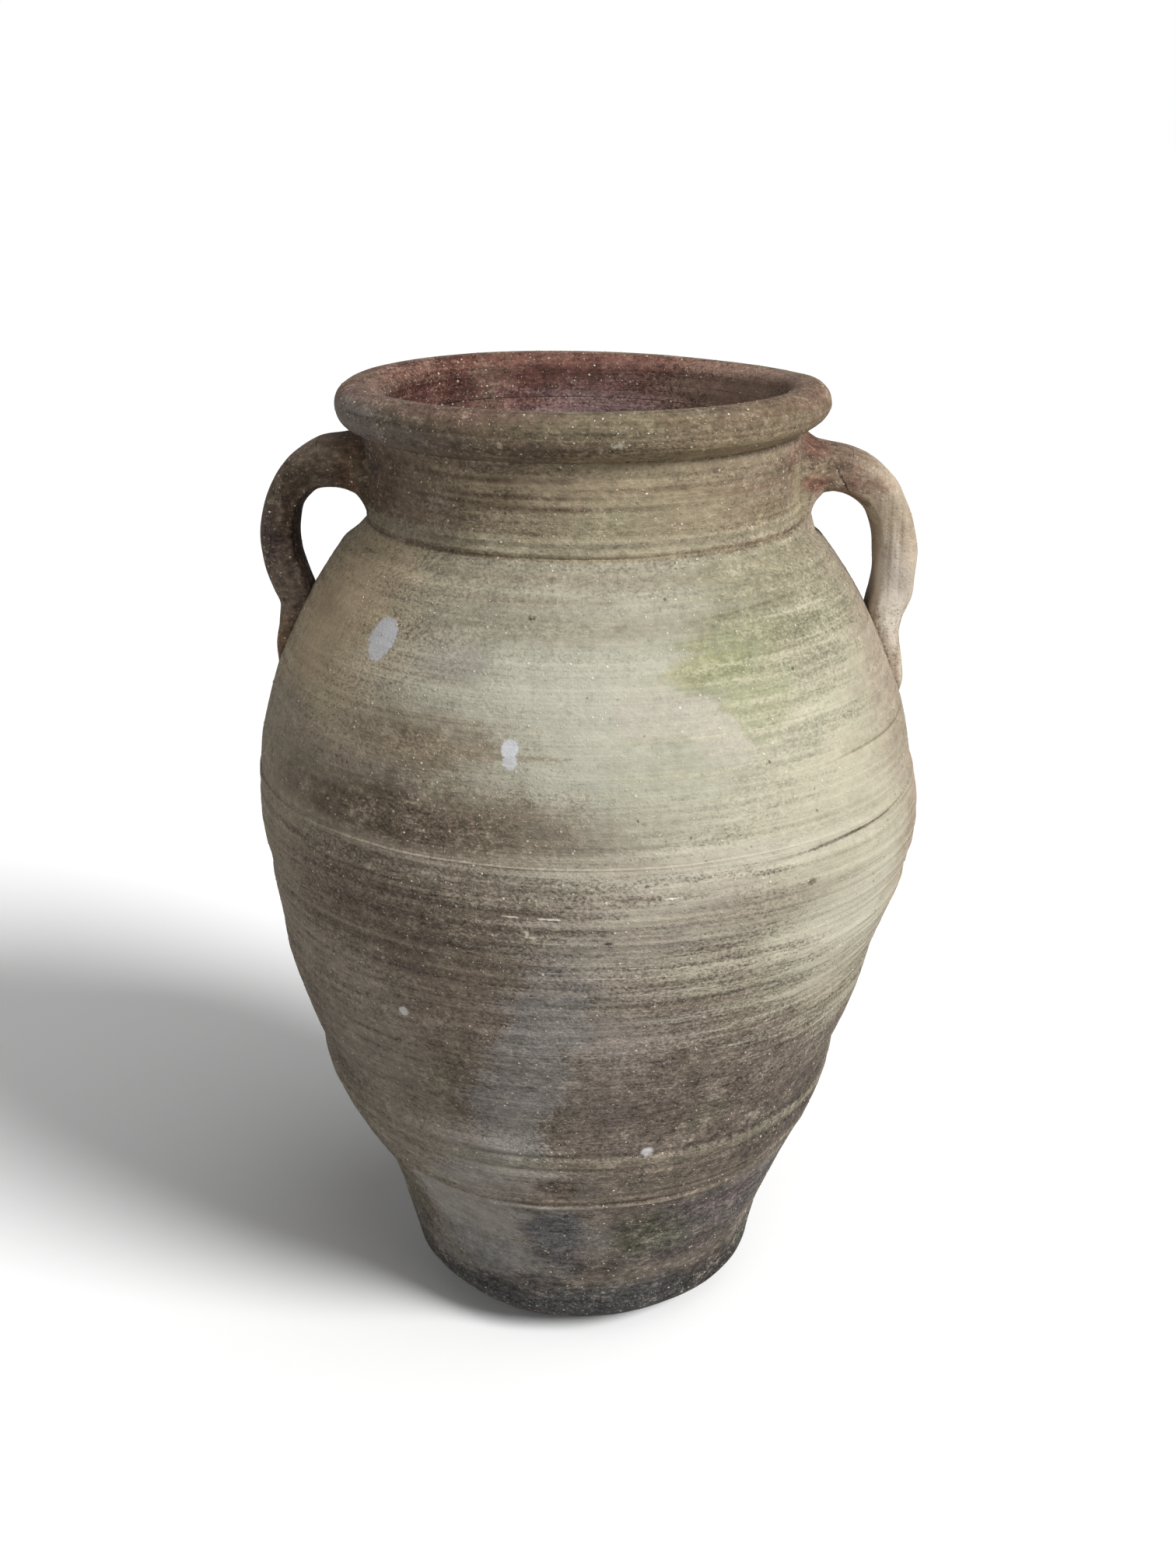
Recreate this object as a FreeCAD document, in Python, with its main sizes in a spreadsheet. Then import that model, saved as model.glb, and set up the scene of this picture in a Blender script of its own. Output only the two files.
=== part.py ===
import FreeCAD, Part
import math
import os
from types import SimpleNamespace

import Sketcher

from FreeCAD import Placement, Rotation, Vector

# A two-handled clay storage jar, built in thrown sections that are joined one above the other.
# The origin is the middle of the standing face, +Z is up and the handles lie along X.

# Driving dimensions in millimetres: radii from the jar's axis, heights of single sections
SIZES = {
    "wall_thickness": 15.0,
    "joint_scarf": 6.0,
    "floor_radius": 84.0,
    "floor_splay": 20.0,
    "floor_thickness": 22.0,
    "floor_dish": 4.0,
    "base_ring": 16.0,
    "foot_edge_spread": 31.0,
    "foot_edge_height": 30.0,
    "foot_edge_round": 2.5,
    "foot_joint_radius": 173.0,
    "foot_height": 148.0,
    "foot_flare": 5.0,
    "ridge_spread": 25.0,
    "ridge_rise": 69.0,
    "ridge_round": 2.5,
    "lower_height": 197.0,
    "lower_round": 1.2,
    "belly_height": 88.0,
    "belly_taper": 6.0,
    "belly_round": 4.5,
    "belly_ring_radius": 238.0,
    "belly_ledge": 1.5,
    "shoulder_height": 157.0,
    "shoulder_round": 11.5,
    "shoulder_inner_round": 15.0,
    "neck_root_spread": 17.5,
    "neck_root_height": 16.0,
    "neck_root_hollow": 1.5,
    "neck_radius": 152.0,
    "neck_height": 62.0,
    "neck_hollow": 2.0,
    "neck_flare": 1.0,
    "neck_wall": 16.0,
    "rim_overhang": 8.0,
    "rim_under_rise": 4.0,
    "rim_roll": 11.5,
    "rim_crest_spread": 3.0,
    "rim_height": 32.0,
    "lip_spread": 2.0,
    "lip_rise": 12.0,
    "lip_round": 5.5,
    "lip_lift": 4.0,
    "strap_sink": 12.0,
    "strap_root_width": 56.0,
    "strap_root_thickness": 36.0,
    "strap_width": 45.0,
    "strap_tail_width": 52.0,
    "strap_tail_thickness": 22.0,
    "luting_width": 88.0,
    "luting_height": 60.0,
    "luting_fillet": 10.0,
    "luting_sag": 6.0,
    "luting_cover": 2.0,
    "pad_width": 62.0,
    "pad_thickness": 13.0,
    "thumb_width": 28.0,
    "thumb_length": 38.0,
    "thumb_depth": 5.0,
    "thumb_drop": 15.0,
    "left_root_drop": 25.0,
    "left_overhang": 9.0,
    "left_bend": 35.0,
    "left_drop": 18.0,
    "left_strap_thickness": 26.0,
    "left_pad_rise": 20.0,
    "left_pad_length": 64.0,
    "right_root_drop": 28.0,
    "right_overhang": 7.7,
    "right_bend": 48.0,
    "right_drop": 20.0,
    "right_strap_thickness": 29.0,
    "right_pad_rise": 4.0,
    "right_pad_length": 84.0,
}


class Size:
    """A length worked out from the sheet: its value now, and the expression that ties it to the cells."""

    def __init__(self, value, text):
        self.value = value
        self.text = text

    def joined(self, sign, other, value):
        return Size(value, f"({self.text} {sign} {other.text})")

    def __add__(self, other):
        return self.joined("+", other, self.value + other.value)

    def __sub__(self, other):
        return self.joined("-", other, self.value - other.value)

    def __mul__(self, other):
        return self.joined("*", other, self.value * other.value)

    def __truediv__(self, other):
        return self.joined("/", other, self.value / other.value)

    def __neg__(self):
        return Size(-self.value, f"(-{self.text})")


ZERO = Size(0.0, "0")
TWO = Size(2.0, "2")

doc = FreeCAD.newDocument("olive_jar")
sheet = doc.addObject("Spreadsheet::Sheet", "Sizes")
for row, (alias, length) in enumerate(SIZES.items(), start=1):
    sheet.set(f"A{row}", alias)
    sheet.set(f"B{row}", str(length))
    sheet.setAlias(f"B{row}", alias)
doc.recompute()
jar = SimpleNamespace(**{alias: Size(length, f"Sizes.{alias}") for alias, length in SIZES.items()})

# Heights of the joints between the sections
foot_top = jar.foot_height
ridge = foot_top + jar.ridge_rise
lower_top = foot_top + jar.lower_height
belly_top = lower_top + jar.belly_height
shoulder_break = belly_top + jar.shoulder_height
neck_base = shoulder_break + jar.neck_root_height
neck_top = neck_base + jar.neck_height
jar_top = neck_top + jar.rim_height

# Radii of the wall, outside and inside, from the floor up to the rim
floor_top_radius = jar.floor_radius + jar.floor_splay
base_radius = jar.floor_radius + jar.base_ring
foot_edge_radius = base_radius + jar.foot_edge_spread
foot_joint_inside = jar.foot_joint_radius - jar.wall_thickness
ridge_radius = jar.foot_joint_radius + jar.ridge_spread
ridge_inside = ridge_radius - jar.wall_thickness
belly_base_radius = jar.belly_ring_radius - jar.belly_taper
belly_base_inside = belly_base_radius - jar.wall_thickness
belly_ring_inside = jar.belly_ring_radius - jar.wall_thickness
shoulder_base_radius = jar.belly_ring_radius - jar.belly_ledge
shoulder_break_radius = jar.neck_radius + jar.neck_root_spread
neck_top_radius = jar.neck_radius + jar.neck_flare
mouth_radius = jar.neck_radius - jar.neck_wall
rim_under_radius = neck_top_radius + jar.rim_overhang
rim_crest_radius = neck_top_radius + jar.rim_crest_spread
lip_radius = mouth_radius + jar.lip_spread


def bind(sketch, constraint, size):
    """Adds a dimension to a sketch and ties it to the sheet."""
    index = sketch.addConstraint(constraint)
    sketch.setExpression(f"Constraints[{index}]", size.text)


def pin(sketch, geometry, end, across, up):
    """Holds a sketch point at a place measured from the sketch's origin."""
    for kind, axis, size in (("DistanceX", -2, across), ("DistanceY", -1, up)):
        if size is ZERO:
            sketch.addConstraint(Sketcher.Constraint("PointOnObject", geometry, end, axis))
        else:
            bind(sketch, Sketcher.Constraint(kind, -1, 1, geometry, end, size.value), size)


def draw_arc(sketch, first, middle, last):
    """Draws an arc through three points and says which of its ends is the first point."""
    turns_left = (middle - first).cross(last - first).z > 0
    path = (first, middle, last) if turns_left else (last, middle, first)
    edge = sketch.addGeometry(Part.Arc(*path))
    return (edge, 1, 2) if turns_left else (edge, 2, 1)


def draw_outline(sketch, corners):
    """Draws a closed outline. A corner is (radius, height) or (radius, height, out, up), where out and
    up bow the edge that follows it away from the middle of its chord."""
    ends = []
    for corner, following in zip(corners, corners[1:] + corners[:1]):
        first, last = [Vector(point[0].value, point[1].value) for point in (corner, following)]
        if len(corner) == 2:
            ends.append((sketch.addGeometry(Part.LineSegment(first, last)), 1, 2))
            continue
        across, up = [(corner[axis] + following[axis]) / TWO + corner[axis + 2] for axis in (0, 1)]
        middle = Vector(across.value, up.value)
        ends.append(draw_arc(sketch, first, middle, last))
        bow = sketch.addGeometry(Part.Point(middle), True)
        pin(sketch, bow, 1, across, up)
        sketch.addConstraint(Sketcher.Constraint("PointOnObject", bow, 1, ends[-1][0]))
    for index, corner in enumerate(corners):
        edge, start, _ = ends[index]
        before, _, end = ends[index - 1]
        sketch.addConstraint(Sketcher.Constraint("Coincident", before, end, edge, start))
        pin(sketch, edge, start, corner[0], corner[1])


def turned_body(label, corners):
    """A thrown piece: its half section turned once round the jar's axis."""
    body = doc.addObject("PartDesign::Body", label)
    section = body.newObject("Sketcher::SketchObject", label + "_half_section")
    upright = next(item for item in body.Origin.OriginFeatures if item.Role == "XZ_Plane")
    section.AttachmentSupport = (upright, [""])
    section.MapMode = "FlatFace"
    draw_outline(section, corners)
    turn = body.newObject("PartDesign::Revolution", label + "_turn")
    turn.Profile = section
    turn.ReferenceAxis = (section, ["V_Axis"])
    turn.Angle = 360
    return body


# Outer faces that the sections share with the shape that trims the handles
shoulder_face = [
    (shoulder_base_radius, belly_top, jar.shoulder_round, ZERO),
    (shoulder_break_radius, shoulder_break, -jar.neck_root_hollow, ZERO),
]
neck_face = [(jar.neck_radius, neck_base, -jar.neck_hollow, ZERO)]
rim_face = [
    (neck_top_radius, neck_top),
    (rim_under_radius, neck_top + jar.rim_under_rise, jar.rim_roll, ZERO),
]

# Floor: a slab with a splayed edge, dished a little on top where it was thrown
floor_disc = turned_body("floor_disc", [
    (ZERO, ZERO),
    (jar.floor_radius, ZERO),
    (floor_top_radius, jar.floor_thickness, ZERO, -jar.floor_dish),
    (ZERO, jar.floor_thickness - jar.floor_dish),
])

# Foot: stands on a narrow ring, with a worn edge and a hollow flare up to the tooled joint
foot_section = turned_body("foot_section", [
    (jar.floor_radius, ZERO),
    (base_radius, ZERO, jar.foot_edge_round, ZERO),
    (foot_edge_radius, jar.foot_edge_height, -jar.foot_flare, ZERO),
    (jar.foot_joint_radius, foot_top),
    (foot_joint_inside, foot_top + jar.joint_scarf, -jar.foot_flare, ZERO),
    (floor_top_radius, jar.floor_thickness),
])

# Lower body: a swelling band up to a ridge, then a long straight flare
lower_body_section = turned_body("lower_body_section", [
    (jar.foot_joint_radius, foot_top, jar.ridge_round, ZERO),
    (ridge_radius, ridge, jar.lower_round, ZERO),
    (belly_base_radius, lower_top),
    (belly_base_inside, lower_top + jar.joint_scarf, jar.lower_round, ZERO),
    (ridge_inside, ridge + jar.joint_scarf, jar.ridge_round, ZERO),
    (foot_joint_inside, foot_top + jar.joint_scarf),
])

# Belly: the widest band, ending in a narrow ledge at the joint under the shoulder
belly_section = turned_body("belly_section", [
    (belly_base_radius, lower_top, jar.belly_round, ZERO),
    (jar.belly_ring_radius, belly_top),
    (shoulder_base_radius, belly_top),
    (belly_ring_inside, belly_top + jar.joint_scarf, jar.belly_round, ZERO),
    (belly_base_inside, lower_top + jar.joint_scarf),
])

# Shoulder: turns inwards to the root of the neck
shoulder_section = turned_body("shoulder_section", shoulder_face + [
    (jar.neck_radius, neck_base),
    (mouth_radius, neck_base, jar.shoulder_inner_round, ZERO),
    (belly_ring_inside, belly_top + jar.joint_scarf),
])

# Neck: a short collar, straight inside and drawn in a little outside
neck_collar = turned_body("neck_collar", neck_face + [
    (neck_top_radius, neck_top),
    (mouth_radius, neck_top),
    (mouth_radius, neck_base),
])

# Rim: a thick roll that overhangs the neck, with a lip rounded down into the mouth
rim_roll = turned_body("rim_roll", rim_face + [
    (rim_crest_radius, jar_top, -jar.lip_round, jar.lip_lift),
    (lip_radius, neck_top + jar.lip_rise),
    (mouth_radius, neck_top),
])

# The filled outer shape above the belly joint, which the handles' clay is fitted against
outer_shape = turned_body("outer_shape", shoulder_face + neck_face + rim_face + [
    (rim_crest_radius, jar_top),
    (ZERO, jar_top),
    (ZERO, belly_top),
])

# The shoulder's slope and the middle of its face, where the handle tails are pressed on
slope = (shoulder_break_radius - shoulder_base_radius) / jar.shoulder_height
face_radius = (shoulder_base_radius + shoulder_break_radius) / TWO + jar.shoulder_round
face_height = belly_top + jar.shoulder_height / TWO
face_angle = Size(math.degrees(math.atan2(1, -slope.value)), f"atan2(1; -{slope.text})")
slope_length = Size(math.hypot(1.0, slope.value), f"sqrt(1 + {slope.text} * {slope.text})")

# Ways that an oval of handle clay is laid, with its width along Y: across a level run or an upright one
ACROSS_LEVEL_RUN = Rotation(Vector(0, 1, 0), Vector(0, 0, 1), Vector(1, 0, 0), "XYZ")
ACROSS_UPRIGHT_RUN = Rotation(Vector(0, 0, 1), 90)


def place(item, turn, across, height):
    """Turns an object and ties its place in the handles' plane to the sheet."""
    item.Placement = Placement(Vector(across.value, 0, height.value), turn)
    item.setExpression("Placement.Base.x", across.text)
    item.setExpression("Placement.Base.z", height.text)


def oval(name, turn, width, thickness, across, height):
    """An oval section of handle clay."""
    ring = doc.addObject("Part::Ellipse", name)
    ring.setExpression("MajorRadius", (width / TWO).text)
    ring.setExpression("MinorRadius", (thickness / TWO).text)
    place(ring, turn, across, height)
    return ring


def pressed_lens(name, length, thickness, width, side, across, height):
    """An ellipsoid of clay, or of a thumb's print, that lies along the shoulder's slope."""
    lens = doc.addObject("Part::Ellipsoid", name)
    lens.Angle1 = -90
    lens.setExpression("Radius1", thickness.text)
    lens.setExpression("Radius2", (length / TWO).text)
    lens.setExpression("Radius3", (width / TWO).text)
    place(lens, Rotation(Vector(0, side, 0), face_angle.value), across, height)
    lens.setExpression("Placement.Rotation.Angle", face_angle.text)
    return lens


def trimmed(label, piece, *tools):
    """The piece with each tool's shape taken away, so that it seats on them face to face."""
    for index, tool in enumerate(tools, start=1):
        cut = doc.addObject("Part::Cut", f"{label}_fit_{index}")
        cut.Base = piece
        cut.Tool = tool
        piece = cut
    piece.Label = label
    return piece


def strap_spine(name, side, root, bend_top, bend_end, knee, tail):
    """The strap's middle line: out from the neck, round a bend, down, and tucked in to the shoulder.
    Each point is (distance from the axis, height)."""
    sketch = doc.addObject("Sketcher::SketchObject", name)
    sketch.Placement = Placement(Vector(), Rotation(Vector(1, 0, 0), 90))

    def spot(across, up):
        return Vector(side * across, up)

    root_spot, top_spot, end_spot, knee_spot, tail_spot = [
        spot(across.value, up.value) for across, up in (root, bend_top, bend_end, knee, tail)]
    bend = bend_end[0] - bend_top[0]
    diagonal = bend.value * math.sqrt(0.5)
    inward = knee[0].value - tail[0].value
    fall = knee[1].value - tail[1].value
    tuck = (inward ** 2 + fall ** 2) / (2 * inward)
    half_turn = math.atan2(fall, tuck - inward) / 2
    bend_middle = spot(bend_top[0].value + diagonal, bend_end[1].value + diagonal)
    tuck_middle = spot(knee[0].value - tuck * (1 - math.cos(half_turn)),
                       knee[1].value - tuck * math.sin(half_turn))

    level = sketch.addGeometry(Part.LineSegment(root_spot, top_spot))
    curve, curve_first, curve_last = draw_arc(sketch, top_spot, bend_middle, end_spot)
    upright = sketch.addGeometry(Part.LineSegment(end_spot, knee_spot))
    tucked, tucked_first, tucked_last = draw_arc(sketch, knee_spot, tuck_middle, tail_spot)
    sketch.addConstraint([
        Sketcher.Constraint("Horizontal", level),
        Sketcher.Constraint("Vertical", upright),
        Sketcher.Constraint("Tangent", level, 2, curve, curve_first),
        Sketcher.Constraint("Tangent", curve, curve_last, upright, 1),
        Sketcher.Constraint("Tangent", upright, 2, tucked, tucked_first),
    ])
    bind(sketch, Sketcher.Constraint("Radius", curve, bend.value), bend)
    for edge, end, (across, up) in ((level, 1, root), (upright, 2, knee), (tucked, tucked_last, tail)):
        pin(sketch, edge, end, across if side > 0 else -across, up)
    return sketch


def handle(name, side, root_drop, overhang, bend, drop, thickness, pad_rise, pad_length):
    """One handle: the bent strap, the luting clay round its root and the pressed pad at its tail."""
    def across(distance):
        return distance if side > 0 else -distance

    # Middle line of the strap, from inside the neck's wall to inside the shoulder's
    root_height = neck_top - root_drop
    root_radius = jar.neck_radius - jar.strap_sink
    knee_height = root_height - bend - drop
    pad_radius = face_radius + slope * pad_rise
    pad_height = face_height + pad_rise
    tail_radius = pad_radius - jar.strap_sink
    reach = pad_radius + overhang
    spine = strap_spine(
        name + "_handle_spine", side, (root_radius, root_height), (reach - bend, root_height),
        (reach, root_height - bend), (reach, knee_height), (tail_radius, pad_height))

    # Strap: an oval drawn along that line, stouter at the root and flattened at the tail
    strap = doc.addObject("Part::Sweep", name + "_strap")
    strap.Sections = [
        oval(name + "_strap_root", ACROSS_LEVEL_RUN, jar.strap_root_width, jar.strap_root_thickness,
             across(root_radius), root_height),
        oval(name + "_strap_grip", ACROSS_UPRIGHT_RUN, jar.strap_width, thickness,
             across(reach), knee_height + drop / TWO),
        oval(name + "_strap_tail", ACROSS_UPRIGHT_RUN, jar.strap_tail_width, jar.strap_tail_thickness,
             across(tail_radius), pad_height),
    ]
    strap.Spine = (spine, ["Edge1", "Edge2", "Edge3", "Edge4"])
    strap.Solid = True
    strap.Frenet = False

    # Luting: a collar of soft clay that spreads from the strap's root onto the neck, mostly downwards
    cover = jar.luting_cover * TWO
    luting = doc.addObject("Part::Loft", name + "_luting")
    luting.Sections = [
        oval(f"{name}_luting_{place_name}", ACROSS_LEVEL_RUN, width, height, across(radius), root_height - sag)
        for place_name, width, height, radius, sag in (
            ("root", jar.luting_width, jar.luting_height, root_radius, jar.luting_sag),
            ("fillet", jar.strap_root_width + cover * TWO, jar.strap_root_thickness + cover * TWO,
             jar.neck_radius + jar.luting_fillet, jar.luting_cover),
            ("end", jar.strap_root_width + cover, jar.strap_root_thickness + cover,
             (jar.neck_radius + reach) / TWO, ZERO))]
    luting.Solid = True

    # Pad: the strap's tail pressed flat on the shoulder, with the print of the thumb that pressed it
    pad = pressed_lens(name + "_pad", pad_length, jar.pad_thickness, jar.pad_width, side,
                       across(pad_radius), pad_height)
    print_drop = jar.thumb_drop / slope_length
    print_out = jar.pad_thickness / slope_length
    thumb = pressed_lens(name + "_thumb", jar.thumb_length, jar.thumb_depth, jar.thumb_width, side,
                         across(pad_radius - slope * print_drop + print_out),
                         pad_height - print_drop - slope * print_out)

    return [
        trimmed(name + "_handle", strap, outer_shape),
        trimmed(name + "_handle_luting", luting, outer_shape, strap),
        trimmed(name + "_thumb_pad", pad, outer_shape, strap, thumb),
    ]


left_pieces = handle(
    "left", -1, jar.left_root_drop, jar.left_overhang, jar.left_bend, jar.left_drop,
    jar.left_strap_thickness, jar.left_pad_rise, jar.left_pad_length)
right_pieces = handle(
    "right", 1, jar.right_root_drop, jar.right_overhang, jar.right_bend, jar.right_drop,
    jar.right_strap_thickness, jar.right_pad_rise, jar.right_pad_length)

doc.recompute()

# Nothing is written unless every object was rebuilt and every piece is a sound solid
for item in doc.Objects:
    if "Invalid" in item.State or "Error" in item.State:
        raise RuntimeError(f"{item.Label} was not rebuilt: {item.State}")

pieces = [floor_disc, foot_section, lower_body_section, belly_section, shoulder_section, neck_collar,
          rim_roll, *left_pieces, *right_pieces]
os.makedirs("parts", exist_ok=True)
for piece in pieces:
    shape = piece.Shape
    if shape.isNull() or not shape.isValid() or len(shape.Solids) != 1:
        raise RuntimeError(f"{piece.Label} is not one sound solid")
for piece in pieces:
    piece.Shape.exportStep(f"parts/{piece.Label}.step")
    print(f"{piece.Label}: {piece.Shape.Volume / 1000:.1f} cm3")
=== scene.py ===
import bmesh
import bpy
import math
import numpy as np
from collections import namedtuple
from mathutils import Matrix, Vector


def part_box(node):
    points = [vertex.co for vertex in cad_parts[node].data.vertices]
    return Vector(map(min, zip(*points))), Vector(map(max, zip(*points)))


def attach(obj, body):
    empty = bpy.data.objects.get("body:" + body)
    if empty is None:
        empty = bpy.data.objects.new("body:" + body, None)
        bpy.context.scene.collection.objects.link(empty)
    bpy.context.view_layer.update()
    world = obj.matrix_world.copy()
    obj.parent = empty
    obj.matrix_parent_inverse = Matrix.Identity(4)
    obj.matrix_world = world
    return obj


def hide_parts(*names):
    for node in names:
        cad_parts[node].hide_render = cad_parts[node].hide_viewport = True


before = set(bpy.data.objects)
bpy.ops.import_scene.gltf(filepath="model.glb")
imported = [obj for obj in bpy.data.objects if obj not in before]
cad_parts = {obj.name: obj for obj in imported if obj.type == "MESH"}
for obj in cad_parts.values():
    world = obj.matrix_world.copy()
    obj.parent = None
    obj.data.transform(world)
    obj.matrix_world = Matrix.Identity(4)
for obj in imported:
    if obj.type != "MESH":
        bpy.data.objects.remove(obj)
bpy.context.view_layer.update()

# Foot: the narrow stand of the jar, thrown first from open, sandy terracotta and left to stiffen.
# Its lower edge is worn round, and its top was tooled where the wall was built on it.
# Kiln smoke and years outdoors have turned the clay brown and grey under a pale limy bloom.


class Wire:
    """An output socket of a node tree, with which sums can be written."""

    def __init__(self, socket):
        self.socket = socket

    @staticmethod
    def node(tree, kind, sockets=None, output=0, **settings):
        """Adds a node of any kind, with its settings first and then its sockets' values or links."""
        made = tree.nodes.new(kind)
        for name, value in settings.items():
            setattr(made, name, value)
        for key, value in (sockets or {}).items():
            if isinstance(value, Wire):
                value.into(made.inputs[key])
            else:
                made.inputs[key].default_value = value
        return Wire(made.outputs[output])

    @staticmethod
    def plain(tree, colour):
        """A plain colour, to lay others over."""
        made = Wire.node(tree, "ShaderNodeRGB")
        made.socket.default_value = colour
        return made

    def into(self, socket):
        self.socket.id_data.links.new(self.socket, socket)

    def beside(self, kind, sockets=None, output=0, **settings):
        """Adds a node to the tree that this socket belongs to."""
        return Wire.node(self.socket.id_data, kind, sockets, output, **settings)

    def math(self, operation, *values):
        return self.beside("ShaderNodeMath", dict(enumerate(values)), operation=operation)

    def __add__(self, other):
        return self.math("ADD", self, other)

    def __radd__(self, other):
        return self.math("ADD", other, self)

    def __sub__(self, other):
        return self.math("SUBTRACT", self, other)

    def __rsub__(self, other):
        return self.math("SUBTRACT", other, self)

    def __mul__(self, other):
        return self.math("MULTIPLY", self, other)

    def __rmul__(self, other):
        return self.math("MULTIPLY", other, self)

    def __truediv__(self, other):
        return self.math("DIVIDE", self, other)

    def __rtruediv__(self, other):
        return self.math("DIVIDE", other, self)

    def other(self, output):
        """Another output of the same node."""
        return Wire(self.socket.node.outputs[output])

    def power(self, exponent):
        return self.math("POWER", self, exponent)

    def rise(self, low, high):
        """0 below low, 1 above high and smooth between; low may be the larger, for a fall."""
        return self.beside("ShaderNodeMapRange", {"Value": self, "From Min": low, "From Max": high},
                           interpolation_type="SMOOTHSTEP")

    def tint(self, colour, share):
        """This colour with a share of another one laid over it."""
        return self.beside("ShaderNodeMix", {"Factor": share, "A": self, "B": colour}, output=2,
                           data_type="RGBA")

    def scaled(self, factor):
        """This colour made lighter or darker."""
        return self.beside("ShaderNodeVectorMath", {0: self, "Scale": factor}, operation="SCALE")


def paint(red, green, blue):
    """A colour as seen on a screen, 0 to 255, in the linear values that nodes take."""
    return tuple(((c / 255 + 0.055) / 1.055) ** 2.4 if c > 10 else c / 255 / 12.92
                 for c in (red, green, blue)) + (1.0,)


def matte(name, roughness, gloss):
    """A new material that hardly shines, with its node tree and its shader's inputs."""
    material = bpy.data.materials.new(name)
    material.use_nodes = True
    inputs = material.node_tree.nodes["Principled BSDF"].inputs
    inputs["Roughness"].default_value = roughness
    inputs["Specular IOR Level"].default_value = gloss
    return material, material.node_tree, inputs


DEGREES_PER_RADIAN = 57.2958
StainOrPaintedLight = namedtuple("StainOrPaintedLight", "colour across height half_across half_height share soft streak grain lean",
                   defaults=(0.3, 0.0))


def alike(soft, streak, grain, *rows):
    """Stains and patches of painted light and shade with the same kind of edge."""
    return [StainOrPaintedLight(*row, soft, streak, grain) for row in rows]


def weathered_and_shaded(name, ground, stains_and_light, lines, mottling, lining=None, sand=1.0, strap=False):
    """Clay with stains, and patches of painted light and shade, laid over its ground colour, in order. A
    patch's place across is its angle from the front, in degrees to the right, or on a strap its distance from
    the axis; its height is in millimetres. Its edge is soft, streaked and grainy. Lines, mottling and sand
    say how strongly the throwing lines, the blotches and the grain show. A lining is the inner face's ground
    and patches, seen from the back."""
    clay, tree, shader = matte(name, 0.92, 0.22)
    place = Wire.node(tree, "ShaderNodeTexCoord", output="Object")
    spot = place.beside("ShaderNodeSeparateXYZ", {0: place})
    height = spot.other(2) * 1000.0

    def noise(across, up, detail, output=0):
        spread = place.beside("ShaderNodeVectorMath", operation="MULTIPLY_ADD", sockets={
            0: place, 1: (across, across, up), 2: (up, up, across)})
        return place.beside("ShaderNodeTexNoise", {"Vector": spread, "Scale": 1.0, "Detail": detail,
                                                   "Roughness": 0.62}, output)

    def swing(across, up, detail):
        """Noise that swings about 0, mostly by less than 1."""
        return (noise(across, up, detail) - 0.5) * 5.0

    wander = place.beside("ShaderNodeSeparateColor", {0: noise(15.0, 22.0, 3.0, 1)})
    streak = swing(230.0, 14.0, 3.0) if strap else swing(9.0, 210.0, 3.0)
    thread = swing(520.0, 10.0, 2.0) if strap else swing(4.0, 520.0, 2.0)
    grain = swing(420.0, 620.0, 3.0)
    fleck = swing(170.0, 240.0, 3.0)
    mottle = swing(46.0, 70.0, 5.0)

    def stained_and_lit(ground, stains_and_light, across):
        colour = Wire.plain(tree, paint(*ground))
        for stain_or_light in stains_and_light:
            roam = min(1.0, stain_or_light.half_height / 34.0, stain_or_light.half_across / 15.0)
            off = across - stain_or_light.across
            if not strap:
                off = off.math("WRAP", off, 180.0, -180.0)
            sideways = (off + (wander - 0.5) * (24.0 * roam)) / stain_or_light.half_across
            upwards = height + (wander.other(1) - 0.5) * (40.0 * roam) - stain_or_light.height
            if stain_or_light.lean:
                upwards = upwards - off * stain_or_light.lean
            reach = place.beside("ShaderNodeCombineXYZ", {0: sideways, 1: upwards / stain_or_light.half_height})
            inwards = 1.0 - reach.beside("ShaderNodeVectorMath", {0: reach}, "Value", operation="LENGTH")
            mask = (inwards + streak * stain_or_light.streak + grain * stain_or_light.grain).rise(-stain_or_light.soft, stain_or_light.soft)
            colour = colour.tint(paint(*stain_or_light.colour), mask * stain_or_light.share)
        return colour

    ridge = place.beside("ShaderNodeAttribute", output="Fac", attribute_name="ridge")
    if strap:
        around = spot * 1000.0
    else:
        around = spot.math("ARCTAN2", spot, 0.0 - spot.other(1)) * DEGREES_PER_RADIAN
    colour = stained_and_lit(ground, stains_and_light, around)
    if lining:
        outer = place.beside("ShaderNodeAttribute", output="Fac", attribute_name="outer")
        around_back = spot.math("ARCTAN2", spot, spot.other(1)) * DEGREES_PER_RADIAN
        colour = stained_and_lit(*lining, around_back).tint(colour, (outer + mottle * 0.08).rise(0.35, 0.8))

    # Pink and green casts of the fired clay
    colour = colour.tint(paint(146, 122, 112), wander.other(2).rise(0.50, 0.72) * 0.14)
    colour = colour.tint(paint(120, 122, 96), wander.rise(0.50, 0.72) * 0.18)

    # A broken film of lime on the bare clay
    bareness = 1.0 - 1.9 * colour.beside("ShaderNodeRGBToBW", {0: colour})
    film = (mottle * 0.7 + fleck * 0.5 + grain * 0.45 + ridge * 0.1).rise(0.1, 1.3) * bareness
    colour = colour.tint(paint(172, 162, 146), film * (0.10 + 0.24 * outer) if lining else film * 0.34)

    # Worn ridges catch lime and hollows hold soil, and the relief's light and shade is painted in with them,
    # ridges lighter and hollows darker, least where the bloom is thick
    patchy = 0.1 + 0.9 * bareness * bareness
    lined = (thread * 0.135 + streak * 0.095 + ridge * 0.08) * (0.4 + 0.8 * bareness) * lines
    sandy = grain * (0.06 + 1.1 * bareness * bareness * bareness) * sand
    tone = 1.0 + sandy + (fleck * 0.42 + mottle * 0.32) * patchy * mottling + lined
    colour = colour.scaled(tone.math("MAXIMUM", tone, 0.3))

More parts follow.
